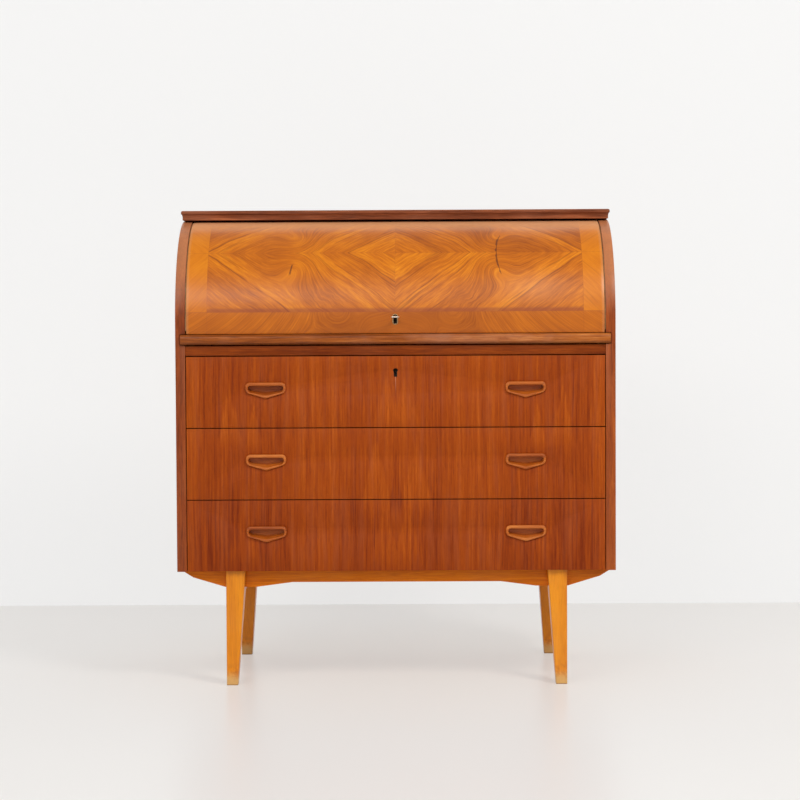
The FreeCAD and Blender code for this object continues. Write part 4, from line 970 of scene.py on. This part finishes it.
def deskKey():
    # A flat bow swept between two outlines with a rounded section, a turned shank with a collar, and a bit
    k = keySizes
    corners = oblong(-k["bowHalf"], k["bowLow"], k["bowHalf"], k["bowHigh"])
    rows = []
    for phase in np.linspace(0, 2 * math.pi, 12, endpoint=False):
        outline = filletLoop(corners, [k["bowRound"]] * 4, k["rim"] * (0.5 - 0.5 * math.cos(phase)), steps=8)
        height = np.sign(math.sin(phase)) * abs(math.sin(phase)) ** 0.6 * k["bowThick"] / 2
        rows.append(np.column_stack([outline, np.full(len(outline), height)]))
    bow = gridMesh(np.array(rows), wrapRows=True, wrapColumns=True)
    start = k["bowHigh"] - k["rim"] / 2
    front, back = k["collarY"]
    end, radius, collar, ease, fillet = (k[key] for key in ("end", "shank", "collar", "ease", "fillet"))
    profile = [
        (start, k["tip"]), (start + 0.001, k["neck"]), (front - 0.0015, radius), (front - ease, radius + fillet),
        (front, collar - ease), (front + 0.0005, collar), (back - 0.0005, collar), (back, collar - ease),
        (back + fillet, radius), (end - k["endEase"], radius), (end, radius - k["endEase"]),
    ]
    shank = gridMesh(turned(profile), wrapColumns=True, caps=True)
    corners = oblong(0.0, end - k["bitLength"], k["bitReach"], end)
    bitRows = []
    for inset, z in ((ease, -1), (0.0, -0.7), (0.0, 0.7), (ease, 1)):
        outline = filletLoop(corners, [k["endEase"]] * 4, inset, steps=3)
        bitRows.append(np.column_stack([outline, np.full(len(outline), z * k["bitThick"] / 2)]))
    bit = gridMesh(np.array(bitRows), wrapColumns=True, caps=True)
    points, faces = joinShapes([bow, shank, bit])
    points[:, 2] += shell["keyZ"]
    newPiece("deskKey", (points, faces), "nickel", "key")


deskKey()


# The writing slide's lip

lipSizes = {"nose": 0.008, "heel": 0.0008, "endRound": 0.0012}


def slideLip():
    # The lip's section, an oblong with a round nose, is carried along the desk and drawn in at both ends.
    low, high = boxOf("slide_lip")
    corners = oblong(*low[1:], *high[1:])
    radii = [lipSizes["nose"], lipSizes["heel"], lipSizes["heel"], lipSizes["nose"]]
    ease = lipSizes["endRound"]
    quarter = np.linspace(0, math.pi / 2, 5)
    ends = [(low[0] + ease * (1 - math.cos(a)), ease * (1 - math.sin(a))) for a in quarter]
    stations = ends + [(x, 0.0) for x in np.linspace(low[0], high[0], 24)[1:-1]]
    stations += [(low[0] + high[0] - x, inset) for x, inset in ends[::-1]]
    rows = []
    for x, inset in stations:
        outline = filletLoop(corners, radii, inset, steps=10)
        rows.append(np.column_stack([np.full(len(outline), x), outline]))
    newPiece("slideLip", gridMesh(np.array(rows), wrapColumns=True, caps=True), "lipTeak", "slide_lip")


slideLip()


# The top board

boardSizes = {
    "overhang": 0.0035, "lip": 0.007, "round": 0.0034, "band": 0.0045, "corner": 0.0012, "back": 0.0006, "nose": 0.0012,
}


def topBoard():
    # A section of (distance out from the band below the cove, height) is carried round the front and both ends:
    # each height has its own oblong outline, whose back edge stays.
    low, high = boxOf("top_board")
    b = boardSizes
    out = b["overhang"]
    lipLow = high[2] - b["lip"]
    coveLow = low[2] + b["band"]
    quarter = np.linspace(0, math.pi / 2, 7)
    section = [(-b["back"], low[2]), (0.0, low[2] + b["back"]), (0.0, coveLow)]
    section += [(out * (1 - math.cos(a)), coveLow + (lipLow - coveLow) * math.sin(a)) for a in quarter[1:]]
    section += [(out, lipLow + b["nose"])]
    section += [(out - b["round"] * (1 - math.cos(a)), high[2] - b["round"] * (1 - math.sin(a))) for a in quarter]
    rows = []
    for reach, z in section:
        x = high[0] - out + reach
        radii = [b["corner"] + max(reach, 0)] * 2 + [b["back"]] * 2
        outline = filletLoop(oblong(-x, low[1] + out - reach, x, high[1]), radii, steps=4, runs=16)
        rows.append(np.column_stack([outline, np.full(len(outline), z)]))
    shape = gridMesh(np.array(rows), wrapColumns=True, caps=True)
    newPiece("topBoard", shape, "boardTeak", "top_board", sharpAngle=30)


topBoard()


# The drawer pulls

pullSizes = {
    "inset": 0.184, "top": 0.053, "proud": 0.005, "seam": 0.0002, "plugIn": 0.0015, "plugDeep": 0.018, "floor": 0.013,
    # the scoop starts this far below the rim's top, and the hook ends above its own level
    "scoopFrom": 0.012, "scoopRun": 0.007, "hook": 0.003, "hookHalf": 0.03, "hookEase": 0.005, "hookLow": 0.01,
}
# outlines down the left side, the lower corner and up the right: half width, top, cheek, point, corner radii
pullOutlines = {
    "rim": (0.0415, 0.0, 0.0207, 0.0331, (0.0092, 0.011, 0.01, 0.011, 0.0092)),
    "hole": (0.036, 0.007, 0.0192, 0.0266, (0.0046, 0.0075, 0.02, 0.0075, 0.0046)),
    "floor": (0.034, 0.0076, 0.016, 0.0205, (0.0036, 0.006, 0.02, 0.006, 0.0036)),
}


def pullLoop(name, inset=0.0):
    half, top, cheek, point, radii = pullOutlines[name]
    corners = [(-half, -top), (-half, -cheek), (0.0, -point), (half, -cheek), (half, -top)]
    return filletLoop(corners, radii, inset, steps=7, runs=6)


def pullShape(middle, face, top):
    # Rows of (outline, depth) from the plug's back round the rim's crown and down the finger hole. The hole's upper
    # wall is steep and runs up behind the rim, and its lower wall slopes down like a scoop.
    p = pullSizes
    rim, hole, floor = pullLoop("rim"), pullLoop("hole"), pullLoop("floor")
    plug = pullLoop("rim", p["plugIn"])
    rows = [(plug, p["plugDeep"]), (plug, p["seam"]), (rim, p["seam"]), (rim, -p["proud"] * 0.3)]
    for a in np.linspace(0, math.pi, 13)[1:-1]:
        share = 0.5 - 0.5 * math.cos(a)
        rows.append((rim + (hole - rim) * share, -p["proud"] * (0.3 + 0.7 * math.sin(a) ** 0.8)))
    rows += [(hole, -p["proud"] * 0.3), (hole, 0.0)]
    low = np.clip((-hole[:, 1:] - p["scoopFrom"]) / p["scoopRun"], 0, 1)
    low = low * low * (3 - 2 * low)
    flat = np.clip((p["hookHalf"] - np.abs(hole[:, 0])) / p["hookEase"], 0, 1) * (hole[:, 1] > -p["hookLow"])
    for share in np.linspace(0, 1, 8)[1:]:
        outline = hole + (floor - hole) * (low * share + (1 - low) * 0.15 * share**4)
        outline[:, 1] += p["hook"] * flat * min(share * 4, 1)
        rows.append((outline, p["floor"] * share))
    points = [
        np.column_stack([middle + outline[:, 0], np.full(len(outline), face + depth), top + outline[:, 1]])
        for outline, depth in rows
    ]
    return gridMesh(np.array(points), wrapColumns=True, caps=True)


def drawerPulls(n):
    low, high = boxOf(f"drawer_{n}_front")
    reach = nodes["side_panel_right"].bound_box[4][0] - pullSizes["inset"]
    shapes = [pullShape(middle, low[1], high[2] - pullSizes["top"]) for middle in (-reach, reach)]
    newPiece(f"drawerPulls{n}", joinShapes(shapes), "pullTeak", f"drawer_{n}_pulls", sharpAngle=50)


for n in (1, 2, 3):
    drawerPulls(n)
print("pieces: cylinder, lip, top board, pulls and key")


# Boards that keep their CAD shape, with eased edges


def camel(node):
    first, *rest = node.split("_")
    return first + "".join(word.capitalize() for word in rest)


# node, finish, easing and, where it isn't the node's, the piece's name
eased = [
    ("side_panel_left", "sideTeakLeft", 0.0008, "sideBoardLeft"),
    ("side_panel_right", "sideTeak", 0.0008, "sideBoardRight"),
    ("front_rail", "railTeak", 0.0006),
    ("writing_slide", "lipTeak", 0.0005, "writingBoard"),
    ("apron_front", "goldBeechLevel", 0.0022),
    ("apron_rear", "goldBeechLevel", 0.0022),
    ("base_rail_left", "goldBeechDeep", 0.002),
    ("base_rail_right", "goldBeechDeep", 0.002),
    ("insert_floor", "insertMahogany", 0.0006),
    ("insert_top", "insertMahogany", 0.0008),
    ("insert_shelf", "insertMahogany", 0.0006),
    ("insert_ends", "insertUpright", 0.0006),
    ("insert_divider_left", "insertUpright", 0.0006),
    ("insert_divider_right", "insertUpright", 0.0006),
    ("insert_partitions", "insertUpright", 0.0005),
]
for n in (1, 2, 3):
    eased.append((f"drawer_{n}_front", "drawerTeak", 0.0008, f"drawerFront{n}"))
    eased += [(f"drawer_{n}_{part}", "liningBeech", 0.0004) for part in ("side_left", "side_right", "back", "bottom")]
for node, finish, ease, *name in eased:
    easedBoard(name[0] if name else camel(node), node, finish, ease)

# The lock's hole in the top front is worn wider than it was cut.
wornHole = {"reach": 0.006, "margin": 0.02, "by": 0.001, "least": 0.0026}
front = bpy.data.objects["drawerFront1"].data
low, high = boxOf("drawer_1_front")
spots = np.empty(len(front.vertices) * 3, np.float32)
front.vertices.foreach_get("co", spots)
spots = spots.reshape(-1, 3)
x, z = spots[:, 0], spots[:, 2]
worn = (np.abs(x) < wornHole["reach"]) & (z > low[2] + wornHole["margin"]) & (z < high[2] - wornHole["margin"])
spots[worn, 0] *= 1 + wornHole["by"] / np.maximum(np.abs(x[worn]), wornHole["least"])
front.vertices.foreach_set("co", spots.ravel())
front.update()

# nodes that keep their CAD mesh, by finish
plain = {
    "goldBeech": ["leg_front_left", "leg_front_right", "leg_rear_left", "leg_rear_right"],
    "backPly": ["back_panel", "case_bottom"],
    "liningBeech": ["runners", "slide_stop", "insert_bearers", "cylinder_guides"],
    "insertMahogany": ["insert_back"],
    # the locks get the steel that is darkened as painted shade for the keyholes
    "keyholeShadeSteel": ["cylinder_lock", "drawer_lock"],
    "dullSteel": ["cylinder_bolt", "drawer_bolt", "slide_strike"],
    "zincSteel": ["base_screws"],
}
for finish, names in plain.items():
    for node in names:
        nodes[node].data.materials.clear()
        nodes[node].data.materials.append(finishes[finish])


# The small drawers, with turned knobs

knobSizes = {"length": 0.014, "half": 0.009, "slack": 0.0005}
# reach from the front and radius
knobProfile = [
    (0.0, 0.0041), (0.004, 0.0036), (0.0062, 0.004), (0.0072, 0.0062), (0.0086, 0.0073), (0.0104, 0.0075),
    (0.0122, 0.0068), (0.0134, 0.005), (0.014, 0.0025),
]


def smallDrawer(side, level):
    # the CAD drawer without its knob, and a turned knob in its place
    node = f"small_drawer_{side}_{level}"
    low, high = boxOf(node)
    front = low[1] + knobSizes["length"]
    x, z = (low[0] + high[0]) / 2, (low[2] + high[2]) / 2

    def inBox(co):
        aside = max(abs(co.x - x), abs(co.z - z)) > knobSizes["half"]
        return co.y > front - 0.0001 and (aside or co.y > front + knobSizes["slack"])

    stem = camel(node)
    easedBoard(stem, node, "insertMahogany", 0.0005, keep=inBox)
    grid = turned([(front - reach, radius) for reach, radius in knobProfile], around=32)
    points, faces = gridMesh(grid, wrapColumns=True, caps=True)
    knob = newPiece(stem + "Knob", (points + np.array([x, 0.0, z]), faces), "pullTeak", body=node)


for side in ("left", "right"):
    for level in ("lower", "upper"):
        smallDrawer(side, level)
print("pieces: boards, base and small drawers")
